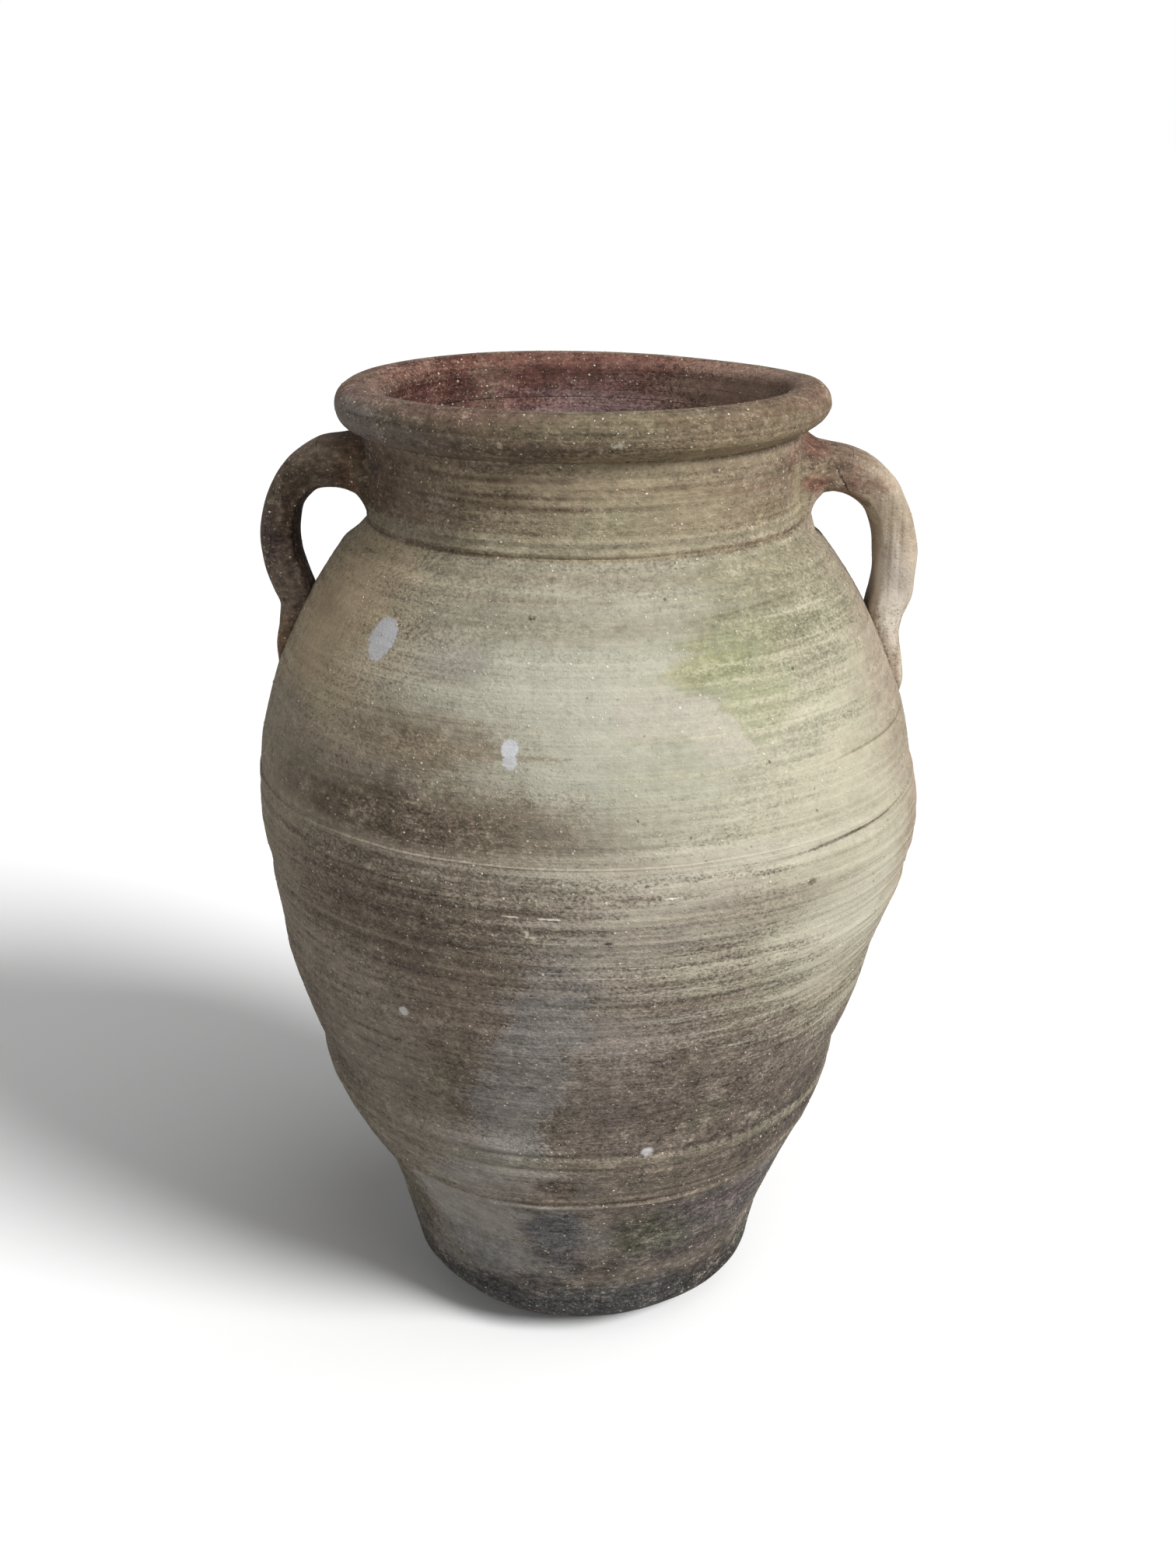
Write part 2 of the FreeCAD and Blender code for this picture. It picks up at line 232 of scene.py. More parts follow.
    def cells(per_metre):
        """How far a place is from the middle of its cell, and three numbers drawn for the cell."""
        away = place.beside("ShaderNodeTexVoronoi", {"Vector": place, "Scale": per_metre})
        return away, place.beside("ShaderNodeSeparateColor", {0: away.other(1)})

    # Lime grit in the clay, fine and coarse, and pits where grit has fallen out, painted dark as the shade
    # inside them
    grit = 0.0
    for per_metre, chance, size, share in ((560.0, 0.45, 0.30, 0.55), (310.0, 0.45, 0.25, 0.72),
                                           (150.0, 0.64, 0.19, 0.85)):
        away, drawn = cells(per_metre)
        speck = (away + drawn.other(1) * (0.5 * size)).rise(size, 0.55 * size)
        speck = speck * drawn.rise(chance, chance + 0.02)
        colour = colour.tint(paint(220, 211, 193), speck * (share * drawn.other(2)))
        grit = grit + speck
    away, drawn = cells(60.0)
    pit = (away + grain * 0.02).rise(0.08, 0.04) * drawn.rise(0.92, 0.94)
    colour.tint(paint(56, 47, 39), pit * 0.6).into(shader["Base Color"])

    rough = grain * 0.2 + fleck * 0.12 + thread * 0.1 + streak * 0.1 + mottle * 0.1
    relief = rough * (0.4 + 0.7 * bareness) + grit * 0.4 - pit * 1.6
    bump = place.beside("ShaderNodeBump", {"Height": relief, "Strength": 0.6, "Distance": 0.0014})
    bump.into(shader["Normal"])
    return clay


MM = 0.001
COLUMNS = 480
ROW = 1.3
angles = np.linspace(0.0, 2 * math.pi, COLUMNS, endpoint=False)


def through(knots, values):
    """A smooth curve through knots of (place, amount), read at values."""
    places, amounts = np.array(knots, float).T
    slopes = np.gradient(amounts, places)
    index = np.clip(np.searchsorted(places, values) - 1, 0, len(places) - 2)
    gap = places[index + 1] - places[index]
    part = np.clip((values - places[index]) / gap, 0.0, 1.0)
    start = (1 + 2 * part) * (1 - part) ** 2 * amounts[index] + part * (1 - part) ** 2 * gap * slopes[index]
    end = part ** 2 * (3 - 2 * part) * amounts[index + 1] + part ** 2 * (part - 1) * gap * slopes[index + 1]
    return start + end


def uneven(angle, height, seed, size, depth):
    """Soft random swells and hollows of about that size, unbroken round the jar."""
    chance = np.random.default_rng(seed)
    total = np.zeros(np.broadcast(angle, height).shape)
    for _ in range(28):
        turns = np.rint(chance.normal(0.0, 200.0 / size))
        total += np.cos(turns * angle + chance.normal(0.0, 1.0 / size) * height + chance.uniform(0, 6.28))
    return depth * total / math.sqrt(14.0)


def thrown_lines(angle, height):
    """Ridges that fingers and a rib leave on a turning wall. They come and go, mostly between -1 and 1."""
    chance = np.random.default_rng(11)
    total = np.zeros(np.broadcast(angle, height).shape)
    for _ in range(40):
        pitch = 2 * math.pi / chance.uniform(4.0, 15.0)
        start, fade_start, climb = chance.uniform(0, 6.28), chance.uniform(0, 6.28), chance.normal(0.0, 1.2)
        fade = 0.5 + 0.5 * np.cos(chance.integers(1, 4) * angle + fade_start)
        total += fade * np.cos(pitch * (height + climb * np.sin(angle + start)) + start)
    return total / 4.0


# How far the soft wall has leaned to the right and swelled at each height
LEAN = [(0, 0.4), (76, -0.8), (95, 0.2), (115, 0.6), (135, -0.6), (160, -3.1), (182, -3.8), (206, -5.1),
        (235, -4.0), (262, -4.0), (285, -4.7), (300, -4.5), (322, -1.7), (338, 0.3), (355, 1.9), (395, 2.9),
        (415, 2.3), (431, 1.0), (447, -0.3), (475, -0.4), (500, -1.5), (560, -0.4), (600, 0.0), (700, 0.0)]
SWELL = [(0, 1.8), (90, 1.4), (135, 1.8), (160, 1.7), (172, 2.4), (195, 1.4), (206, 0.9), (222, -1.3),
         (235, -1.0), (250, 0.0), (282, 0.6), (320, -0.5), (350, 0.0), (370, -1.4), (382, 0.2), (402, 1.3),
         (420, 0.9), (431, 0.2), (445, 1.5), (470, 2.0), (505, 2.0), (550, 0.6), (600, 0.0), (700, 0.0)]
# How strongly the throwing lines stand out at each height
LINED = [(0, 0.25), (130, 0.35), (170, 0.9), (230, 0.6), (330, 1.1), (420, 1.3), (470, 0.5), (590, 0.5),
         (615, 0.25), (660, 0.25), (700, 0.4)]
# How much the standing edge is worn at each angle, and how high the wear reaches
WORN = [(-180, 0.0), (-100, 0.0), (-60, -2.5), (-30, 0.5), (0, 5.0), (30, 6.0), (60, 5.0), (90, 1.5),
        (120, 0.0), (180, 0.0)]
WORN_HEIGHT = 28.0
# Grooves and ridges cut with a tool: middle height, rise to the right, half width, depth outwards
TOOLED = [(147.0, 5.0, 1.6, 0.7), (150.5, 5.5, 1.6, -1.2), (154.5, 6.0, 1.8, 0.9), (158.5, 6.0, 1.4, -0.9),
          (162.0, 6.0, 1.6, 0.7), (188.0, -2.0, 1.8, -0.9), (192.0, -2.0, 1.8, 0.9), (196.5, -2.0, 2.0, 0.8),
          (200.5, -2.0, 1.6, -1.5), (424.0, 0.0, 2.0, -0.4), (429.0, 0.5, 1.6, 0.7), (434.0, 0.0, 2.4, 1.0),
          (439.0, -0.5, 1.6, 0.6), (607.0, 0.0, 1.5, -1.3), (611.0, 0.0, 1.6, 0.5), (614.0, 0.0, 1.2, -0.5),
          (617.5, 0.0, 1.7, 0.7), (621.5, 0.0, 1.4, -0.7), (636.0, 0.0, 1.3, -0.5), (649.0, 0.0, 1.3, -0.5),
          (658.0, 0.0, 1.5, -0.7)]
# Drying cracks: first and last angle, height at the first, climb, depth
CRACKS = [(34.0, 66.0, 427.0, 5.0, 0.7), (44.0, 78.0, 478.0, 3.0, 0.5), (24.0, 52.0, 573.0, 6.0, 0.5),
          (-150.0, -118.0, 431.0, 3.0, 0.8)]
CRACK_WIDTH = 1.1
MM_PER_DEGREE = 3.4


def turn_of(angle):
    """An angle in degrees to the right of the front, from -180 to 180."""
    return np.degrees(np.arctan2(np.sin(angle), np.cos(angle)))


def outer_face(angle, height):
    """How far the worn outer face stands out from the plain turned shape, and how much of a ridge it is."""
    lines = through(LINED, height) * thrown_lines(angle, height)
    tooled = 0.0
    for middle, rise, width, depth in TOOLED:
        level = height - middle - rise * np.sin(angle) - uneven(angle, 0.0, int(middle), 120.0, 0.5)
        pressed = np.clip(0.75 + uneven(angle, 0.0, int(middle) + 1, 45.0, 0.35), 0.1, 1.2)
        tooled = tooled + depth * pressed * np.exp(-(level / width) ** 2)
    turn = turn_of(angle)
    for first, last, start, climb, depth in CRACKS:
        way = (turn - first) / (last - first)
        line = start + climb * way + uneven(angle, 0.0, int(start), 20.0, 0.6)
        shown = np.clip(6 * way, 0, 1) * np.clip(6 * (1 - way), 0, 1)
        tooled = tooled - depth * shown * np.exp(-((height - line) / CRACK_WIDTH) ** 2)
    dents = 0.0
    chance = np.random.default_rng(17)
    for _ in range(50):
        level, side, size = chance.uniform(10, 690), chance.uniform(-180, 180), chance.uniform(2.5, 6.0)
        across = ((turn - side + 180) % 360 - 180) * MM_PER_DEGREE
        dents = dents - 0.22 * size * np.exp(-(across ** 2 + (height - level) ** 2) / size ** 2)
    swells = uneven(angle, height, 3, 60.0, 0.7) + uneven(angle, height, 5, 14.0, 0.2)
    swells = swells - through(WORN, turn) * np.clip(1 - height / WORN_HEIGHT, 0, 1) ** 2
    return 0.17 * lines + tooled + 0.5 * dents + swells, lines + 1.3 * tooled + 0.6 * dents


def inner_face(angle, height):
    """The inner face, with the broad grooves that the potter's fingers left."""
    return 0.6 * np.sin(height * 0.42 + angle) + uneven(angle, height, 9, 40.0, 0.6)


def finished(name, mesh, material):
    """Turns a mesh's faces outwards, smooths all but its sharp edges and makes it a piece."""
    work = bmesh.new()
    work.from_mesh(mesh)
    bmesh.ops.recalc_face_normals(work, faces=work.faces)
    work.to_mesh(mesh)
    work.free()
    mesh.shade_smooth()
    mesh.set_sharp_from_angle(angle=math.radians(50))
    mesh.materials.clear()
    mesh.materials.append(material)
    piece = bpy.data.objects.new(name, mesh)
    bpy.context.collection.objects.link(piece)
    return piece


def span(node):
    """Lowest and highest level of a CAD node, in millimetres."""
    low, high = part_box(node)
    return low[2] * 1000, high[2] * 1000


def met(node, start, way):
    """Where a line first meets a CAD node."""
    hit, spot, _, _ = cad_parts[node].ray_cast(Vector(start), Vector(way))
    if not hit:
        raise RuntimeError(f"{node} isn't met from {start}")
    return spot


def radius(node, height, start, way):
    """The CAD node's radius at a height, met on a level line from a start."""
    return met(node, (start, 0.0, height / 1000), (way, 0.0, 0.0)).x * 1000


# How far the rim rises, stands out and droops at each angle, and the share of this that reaches each height
RIM_RISE = [(-180, 0.0), (-135, 1.5), (-112, 0.8), (-90, -0.6), (-45, -0.4), (0, 0.0), (45, 0.0), (90, 0.5),
            (112, -2.3), (135, -2.8), (158, -1.4), (180, 0.0)]
RIM_REACH = [(-180, 0.0), (-135, 0.5), (-90, 2.0), (-45, 0.5), (0, 0.0), (90, 0.0), (180, 0.0)]
RIM_DROOP = [(-180, 0.0), (-90, -0.5), (-45, 0.5), (0, -1.0), (45, -2.5), (90, -5.5), (135, -2.0), (180, 0.0)]
ROLLED = [(0, 0.0), (640, 0.0), (668, 1.0), (720, 1.0)]
UNDERSIDE = [(0, 0.0), (654, 0.0), (662, 0.4), (668, 1.0), (672, 0.95), (678, 0.4), (684, 0.0), (720, 0.0)]


def turned(name, rows, material):
    """A thrown piece from rows of (radius, height, share of the outer face), closed both ways."""
    base, height, outer = [column[:, None] for column in np.array(rows, float).T]
    angle = angles[None, :]
    face, ridge = outer_face(angle, height)
    turn = turn_of(angle)
    rolled, underside = (np.interp(height, *np.transpose(knots)) for knots in (ROLLED, UNDERSIDE))
    reach = (base + outer * (face + through(SWELL, height) + underside * through(RIM_DROOP, turn))
             + (1 - outer) * inner_face(angle, height) + rolled * through(RIM_REACH, turn))
    across = reach * np.sin(angle) + through(LEAN, height)
    grid = np.stack([across, -reach * np.cos(angle), height + rolled * through(RIM_RISE, turn)], -1)
    index = np.arange(len(rows) * COLUMNS).reshape(len(rows), COLUMNS)
    up, right = np.roll(index, -1, 0), np.roll(index, -1, 1)
    corners = np.stack([index, right, np.roll(up, -1, 1), up], -1).reshape(-1, 4)
    mesh = bpy.data.meshes.new(name)
    mesh.from_pydata((grid.reshape(-1, 3) * MM).tolist(), [], corners.tolist())
    for attribute, amounts in (("outer", outer + 0.0 * angle), ("ridge", outer * np.clip(ridge, -2.5, 2.5))):
        mesh.attributes.new(attribute, "FLOAT", "POINT").data.foreach_set("value", amounts.reshape(-1))
    piece = finished(name, mesh, material)
    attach(piece, "root")
    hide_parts(name)
    return piece


def wall_rows(node, inner_low, outer_high):
    """The rows of a wall section: up its outer face, over the joint and down its inner face."""
    low, high = span(node)
    outer = np.linspace(low, outer_high, int((outer_high - low) / ROW))
    inner = np.linspace(high, inner_low, int((high - inner_low) / (3 * ROW)))
    within = [np.clip(heights, low + 0.02, high - 0.02) for heights in (outer, inner)]
    return ([(radius(node, level, 1.0, -1.0), height, 1.0) for level, height in zip(within[0], outer)]
            + [(radius(node, level, 0.0, 1.0), height, 0.0) for level, height in zip(within[1], inner)])


floor_top = span("floor_disc")[1]
floor_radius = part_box("floor_disc")[1][0] * 1000
floor_base = radius("floor_disc", 0.5, 1.0, -1.0)
foot_rows = wall_rows("foot_section", floor_top, span("lower_body_section")[0])
standing_radius = foot_rows[0][0]
edge_width, edge_height, edge_end = 4.0, 1.2, 2.0
foot_rows = ([(floor_base, 0.0, 0.0), (standing_radius - edge_width, 0.0, 1.0),
              (standing_radius, edge_height, 1.0)]
             + [row for row in foot_rows if row[1] > edge_end])
GROUND = (121, 110, 97)
RED_CLAY = (106, 75, 66)
inside = RED_CLAY, [StainOrPaintedLight((80, 66, 58), 0, 40, 400, 150, 0.8, 0.8, 0.3, 0.4)]
grey_left = StainOrPaintedLight((136, 128, 117), -42, 236, 22, 92, 0.8, 0.5, 0.3, 0.3)
left_edge = StainOrPaintedLight((100, 91, 80), -67, 220, 14, 80, 0.8, 0.6, 0.3, 0.4)
red_brown = StainOrPaintedLight((104, 93, 84), 27, 238, 40, 62, 0.95, 0.5, 0.4, 0.35)
right_low = StainOrPaintedLight((73, 65, 59), 54, 190, 24, 36, 0.8, 0.7, 0.4, 0.4)
drip_end = StainOrPaintedLight((158, 153, 145), -22, 184, 14, 32, 0.8, 0.4, 0.2, 0.3)
tooled_pale = StainOrPaintedLight((132, 125, 108), 0, 194, 300, 6, 0.5, 0.7, 0.3, 0.4)
dark_oval = StainOrPaintedLight((78, 71, 64), -6, 172, 5, 7.5, 0.9, 0.3, 0.1, 0.25)
back_brown = StainOrPaintedLight((114, 103, 91), 146, 230, 44, 90, 0.85, 0.8, 0.5, 0.4)
back_pale = StainOrPaintedLight((150, 143, 126), -156, 330, 34, 84, 0.75, 0.9, 0.6, 0.5)
foot_clay = weathered_and_shaded("foot_clay", GROUND, [
    grey_left, red_brown, back_brown, back_pale, drip_end,
    StainOrPaintedLight((162, 158, 152), -30, 130, 20, 42, 0.9, 0.3, 0.2, 0.4),
    StainOrPaintedLight((86, 81, 80), 42, 118, 30, 44, 0.9, 0.4, 0.3, 0.4),
    StainOrPaintedLight((100, 99, 100), -8, 108, 8, 34, 0.9, 0.25, 0.2, 0.3),
    StainOrPaintedLight((146, 142, 136), -12, 146, 16, 8, 0.6, 0.5, 0.3, 0.4),
    StainOrPaintedLight((130, 121, 115), 48, 143, 14, 7, 0.7, 0.5, 0.3, 0.4),
    StainOrPaintedLight((124, 121, 115), 3, 104, 5, 24, 0.7, 0.4, 0.2, 0.4),
    StainOrPaintedLight((80, 78, 67), 17, 112, 10, 22, 0.85, 0.35, 0.2, 0.35),
    StainOrPaintedLight((108, 93, 92), 38, 128, 12, 10, 0.6, 0.5, 0.3, 0.5),
    StainOrPaintedLight((104, 106, 92), 24, 96, 6, 9, 0.6, 0.5, 0.2, 0.5),
    StainOrPaintedLight((116, 110, 102), 0, 155, 300, 6, 0.4, 0.7, 0.4, 0.4),
    StainOrPaintedLight((140, 138, 134), -30, 78, 20, 26, 0.9, 0.35, 0.2, 0.4),
    StainOrPaintedLight((92, 88, 77), -72, 84, 22, 70, 0.85, 0.4, 0.3),
    # Painted shade: the foot darkens towards the floor all round
    StainOrPaintedLight((66, 66, 67), 0, 20, 400, 40, 0.95, 0.5, 0.3, 0.4),
    StainOrPaintedLight((74, 72, 71), 2, 78, 20, 10, 0.5, 0.6, 0.2, 0.4),
    # The last two are painted shade at the sides of the base
    *alike(0.6, 0.2, 0.4, ((80, 74, 69), 40, 84, 30, 14, 0.8), ((52, 50, 48), 62, 36, 24, 34, 0.75),
           ((56, 53, 48), -68, 28, 22, 26, 0.6)),
    StainOrPaintedLight((94, 82, 74), 44, 57, 17, 6, 0.6, 0.4, 0.2, 0.3),
    StainOrPaintedLight((120, 115, 106), 34, 67, 24, 1.2, 0.4, 0.7, 0.0, 0.4, 0.22),
    StainOrPaintedLight((92, 86, 80), -13, 141, 4.5, 4, 0.8, 0.4, 0.1, 0.3),
    dark_oval,
    StainOrPaintedLight((166, 160, 150), -24, 142, 12, 7, 0.5, 0.6, 0.3, 0.4),
    StainOrPaintedLight((138, 134, 126), -47, 60, 10, 12, 0.6, 0.6, 0.2, 0.5),
    # The last two are painted shade at the sides of the base, darkest where the key light falls
    *alike(0.6, 0.2, 0.4, ((74, 71, 70), -10, 90, 6, 9, 0.6), ((74, 70, 67), -20, 58, 6, 8, 0.5),
           ((40, 36, 33), 60, 30, 30, 22, 0.8), ((60, 57, 53), -60, 32, 14, 12, 0.6)),
], 0.8, 1.8, inside)
foot = turned("foot_section", foot_rows, foot_clay)

# Floor: the slab that the foot was thrown on, of the same clay.
# It is bedded inside the foot and was cut off the wheel with a wire underneath.
spread = np.linspace(0.02, 1.0, 40)
dish, wire_cut = 4.0, 0.3
floor_rows = ([(floor_radius * part, floor_top - dish * (1 - part ** 2), 0.0) for part in spread]
              + [(floor_base * part, wire_cut, 0.0) for part in spread[::-1]])
turned("floor_disc", floor_rows, foot_clay)

# Lower body: the flaring wall, built up on the foot as a thick coil and thrown thin.
# Rain has run down its front in a grey drip, and wiped lime lies in streaks on the right.
left_haze = StainOrPaintedLight((146, 135, 119), -66, 420, 17, 72, 0.75, 0.6, 0.4, 0.5)
left_mist = StainOrPaintedLight((146, 136, 122), -58, 332, 18, 24, 0.65, 0.6, 0.4, 0.5)
dark_left = StainOrPaintedLight((106, 95, 83), -30, 394, 28, 44, 0.9, 0.6, 0.5, 0.5)
pale_right = StainOrPaintedLight((180, 175, 154), 62, 418, 38, 126, 0.95, 0.45, 0.36, 0.25)
pale_bright = StainOrPaintedLight((196, 191, 172), 51, 364, 14, 46, 0.75, 0.6, 0.5, 0.3)
drip_top = StainOrPaintedLight((128, 122, 117), -3, 356, 6.5, 32, 0.85, 0.3, 0.3, 0.5)
lime_streaks = StainOrPaintedLight((156, 148, 135), 11, 386, 17, 40, 0.8, 0.6, 0.8, 0.6)
edge_pink = StainOrPaintedLight((152, 130, 114), 79, 378, 13, 44, 0.75, 0.6, 0.4, 0.4)
lower_clay = weathered_and_shaded("lower_clay", GROUND, [
    grey_left, left_edge, back_brown, back_pale,
    StainOrPaintedLight((117, 106, 93), -25, 280, 8, 54, 0.8, 0.4, 0.3, 0.35),
    dark_left, left_mist, red_brown, lime_streaks,
    StainOrPaintedLight((124, 114, 106), 4, 262, 7, 44, 0.7, 0.7, 0.3, 0.5),
    StainOrPaintedLight((156, 147, 138), 4, 312, 12, 22, 0.6, 0.7, 0.5, 0.5),
    StainOrPaintedLight((138, 128, 115), -30, 278, 5, 10, 0.7, 0.6, 0.4, 0.5),
    StainOrPaintedLight((90, 81, 71), 21, 222, 8, 9, 0.65, 0.6, 0.4, 0.4),
    StainOrPaintedLight((142, 132, 117), 50, 314, 10, 18, 0.65, 0.6, 0.4, 0.5),
    StainOrPaintedLight((92, 82, 73), 31, 248, 6, 9, 0.5, 0.6, 0.4, 0.4),
    StainOrPaintedLight((86, 77, 68), -63, 168, 8, 14, 0.6, 0.6, 0.3, 0.4),
    right_low,
    StainOrPaintedLight((64, 57, 52), 60, 192, 9, 14, 0.7, 0.6, 0.3, 0.4),
    drip_top,
    StainOrPaintedLight((130, 126, 121), -6.5, 322, 7.5, 34, 0.85, 0.2, 0.15, 0.3),
    StainOrPaintedLight((104, 94, 82), -23, 272, 6, 18, 0.6, 0.5, 0.3, 0.4),
    StainOrPaintedLight((130, 126, 121), -10, 278, 7.5, 40, 0.85, 0.2, 0.15, 0.3),
    StainOrPaintedLight((136, 132, 127), -15, 228, 7.5, 42, 0.85, 0.2, 0.15, 0.3),
    drip_end,
    StainOrPaintedLight((140, 134, 129), 0, 170, 5, 12, 0.5, 0.6, 0.3, 0.4),
    pale_right, pale_bright, edge_pink, tooled_pale, dark_oval,
    StainOrPaintedLight((172, 162, 142), 52, 314, 8, 20, 0.5, 0.7, 0.5, 0.5),
    StainOrPaintedLight((104, 96, 84), 12, 172, 16, 9, 0.6, 0.6, 0.4, 0.4),
    StainOrPaintedLight((214, 210, 208), -32, 313, 0.9, 3.2, 0.95, 0.3, 0.0, 0.1),
    StainOrPaintedLight((214, 212, 214), 12.5, 203, 1.2, 3.6, 0.95, 0.4, 0.0, 0.1),
    StainOrPaintedLight((190, 180, 164), 26, 246, 1.6, 0.5, 0.6, 0.7, 0.0, 0.5),
], 1.25, 1.45, inside)
lower_body = turned("lower_body_section", wall_rows("lower_body_section", span("foot_section")[1],
                                                    span("belly_section")[0]), lower_clay)

# Belly: the widest band, thrown from the next coil, with the deepest throwing lines.
# Lime has caught on the ridge over its joint, which a drying crack follows on the right.
pale_bloom = StainOrPaintedLight((173, 171, 155), 8, 514, 43, 80, 0.97, 0.55, 0.18, 0.2)
green_right = StainOrPaintedLight((147, 145, 122), 48, 505, 30, 120, 0.8, 0.5, 0.4)
tan_edge = StainOrPaintedLight((147, 132, 115), 78, 486, 18, 92, 0.8, 0.6, 0.3, 0.4)
grainy_brown = StainOrPaintedLight((99, 87, 73), -27, 456, 28, 24, 0.95, 0.5, 0.15, 0.6)
grainy_end = StainOrPaintedLight((130, 120, 103), 0, 457, 14, 13, 0.4, 0.8, 0.1, 0.9)
ridge_pale = StainOrPaintedLight((184, 179, 162), 22, 432, 26, 9, 0.8, 0.7, 0.2, 0.4)
ridge_left = StainOrPaintedLight((148, 138, 123), -32, 434, 50, 5, 0.55, 0.7, 0.4, 0.4)
crack_shade = StainOrPaintedLight((84, 74, 58), 50, 429.5, 16, 1.0, 0.85, 0.6, 0.0, 0.6, 0.16)
belly_clay = weathered_and_shaded("belly_clay", GROUND, [
    grey_left, dark_left, left_haze, left_mist, back_brown, back_pale, pale_bloom, green_right, drip_top,
    StainOrPaintedLight((112, 102, 91), -11, 384, 5, 10, 0.6, 0.6, 0.4, 0.5),
    lime_streaks, pale_right, pale_bright, tan_edge, edge_pink,
    StainOrPaintedLight((174, 167, 151), 17, 414, 11, 16, 0.65, 0.7, 0.6, 0.5),
    StainOrPaintedLight((160, 154, 134), 50, 420, 14, 20, 0.6, 0.7, 0.4, 0.5),
    *alike(0.7, 0.5, 0.6, ((142, 130, 114), -52, 419, 28, 1.4, 0.6),
           ((140, 128, 112), -40, 411, 34, 1.2, 0.5), ((138, 126, 110), -58, 402, 20, 1.6, 0.5),
           ((136, 124, 110), -30, 394, 24, 1.1, 0.5), ((140, 128, 114), -24, 380, 20, 1.4, 0.5),
           ((136, 125, 111), -44, 368, 22, 1.4, 0.5)),
    StainOrPaintedLight((122, 112, 98), 30, 398, 12, 10, 0.55, 0.7, 0.9, 0.5),
    ridge_pale, ridge_left, crack_shade,
    *alike(0.7, 0.0, 0.5, ((220, 211, 194), -11.2, 401, 1.0, 0.5, 0.9),
           ((224, 216, 200), -5.2, 400.6, 1.5, 0.6, 0.95), ((212, 202, 184), -8, 387, 0.9, 0.5, 0.9),
           ((212, 202, 184), -8.6, 389, 0.3, 2.0, 0.9), ((230, 223, 210), 13, 413, 1.1, 0.5, 0.95),
           ((206, 198, 182), 7.5, 364, 1.0, 0.5, 0.8)),
    StainOrPaintedLight((206, 198, 182), 15.6, 362, 1.1, 0.5, 0.8, 0.7, 0.0, 0.5, 0.4),
    StainOrPaintedLight((64, 56, 50), 3.5, 384, 0.7, 1.0, 0.9, 0.5, 0.0, 0.1),
    StainOrPaintedLight((92, 84, 66), 37, 407, 0.9, 2.4, 0.8, 0.5, 0.0, 0.2),
], 1.25, 1.1, inside)
belly = turned("belly_section", wall_rows("belly_section", span("lower_body_section")[1],
                                          span("shoulder_section")[0]), belly_clay)

# Shoulder: the wall drawn in from the belly to the root of the neck, and smoothed with a rib.
# Sage-coloured bloom covers its front, with algae on the right and two dabs of plaster on the left.
plaster = [StainOrPaintedLight((187, 187, 190), -41.7, 555.5, 3.2, 11.5, 0.97, 0.12, 0.0, 0.06),
           StainOrPaintedLight((187, 187, 190), -42.3, 547, 2.3, 6.5, 0.85, 0.3, 0.0, 0.3),
           StainOrPaintedLight((190, 191, 194), -12.2, 504.5, 1.45, 5.4, 0.97, 0.14, 0.0, 0.1),
           StainOrPaintedLight((188, 190, 192), -11.9, 497, 1.15, 5.0, 0.85, 0.2, 0.0, 0.25)]
algae = [StainOrPaintedLight((138, 138, 103), 25, 548, 9, 13, 0.8, 0.4, 0.3, 0.4),
         StainOrPaintedLight((136, 137, 106), 34, 556, 9, 15, 0.65, 0.5, 0.4, 0.4),
         StainOrPaintedLight((147, 148, 116), 31, 524, 8, 22, 0.75, 0.4, 0.3, 0.35)]
washed_lobes = [StainOrPaintedLight((173, 167, 153), *place, 0.85, 0.16, 0.05, 0.1) for place in
                ((11.5, 524, 8, 16), (19, 522, 4.5, 11), (22.5, 511, 4.2, 11), (24.5, 498, 4.5, 9))]
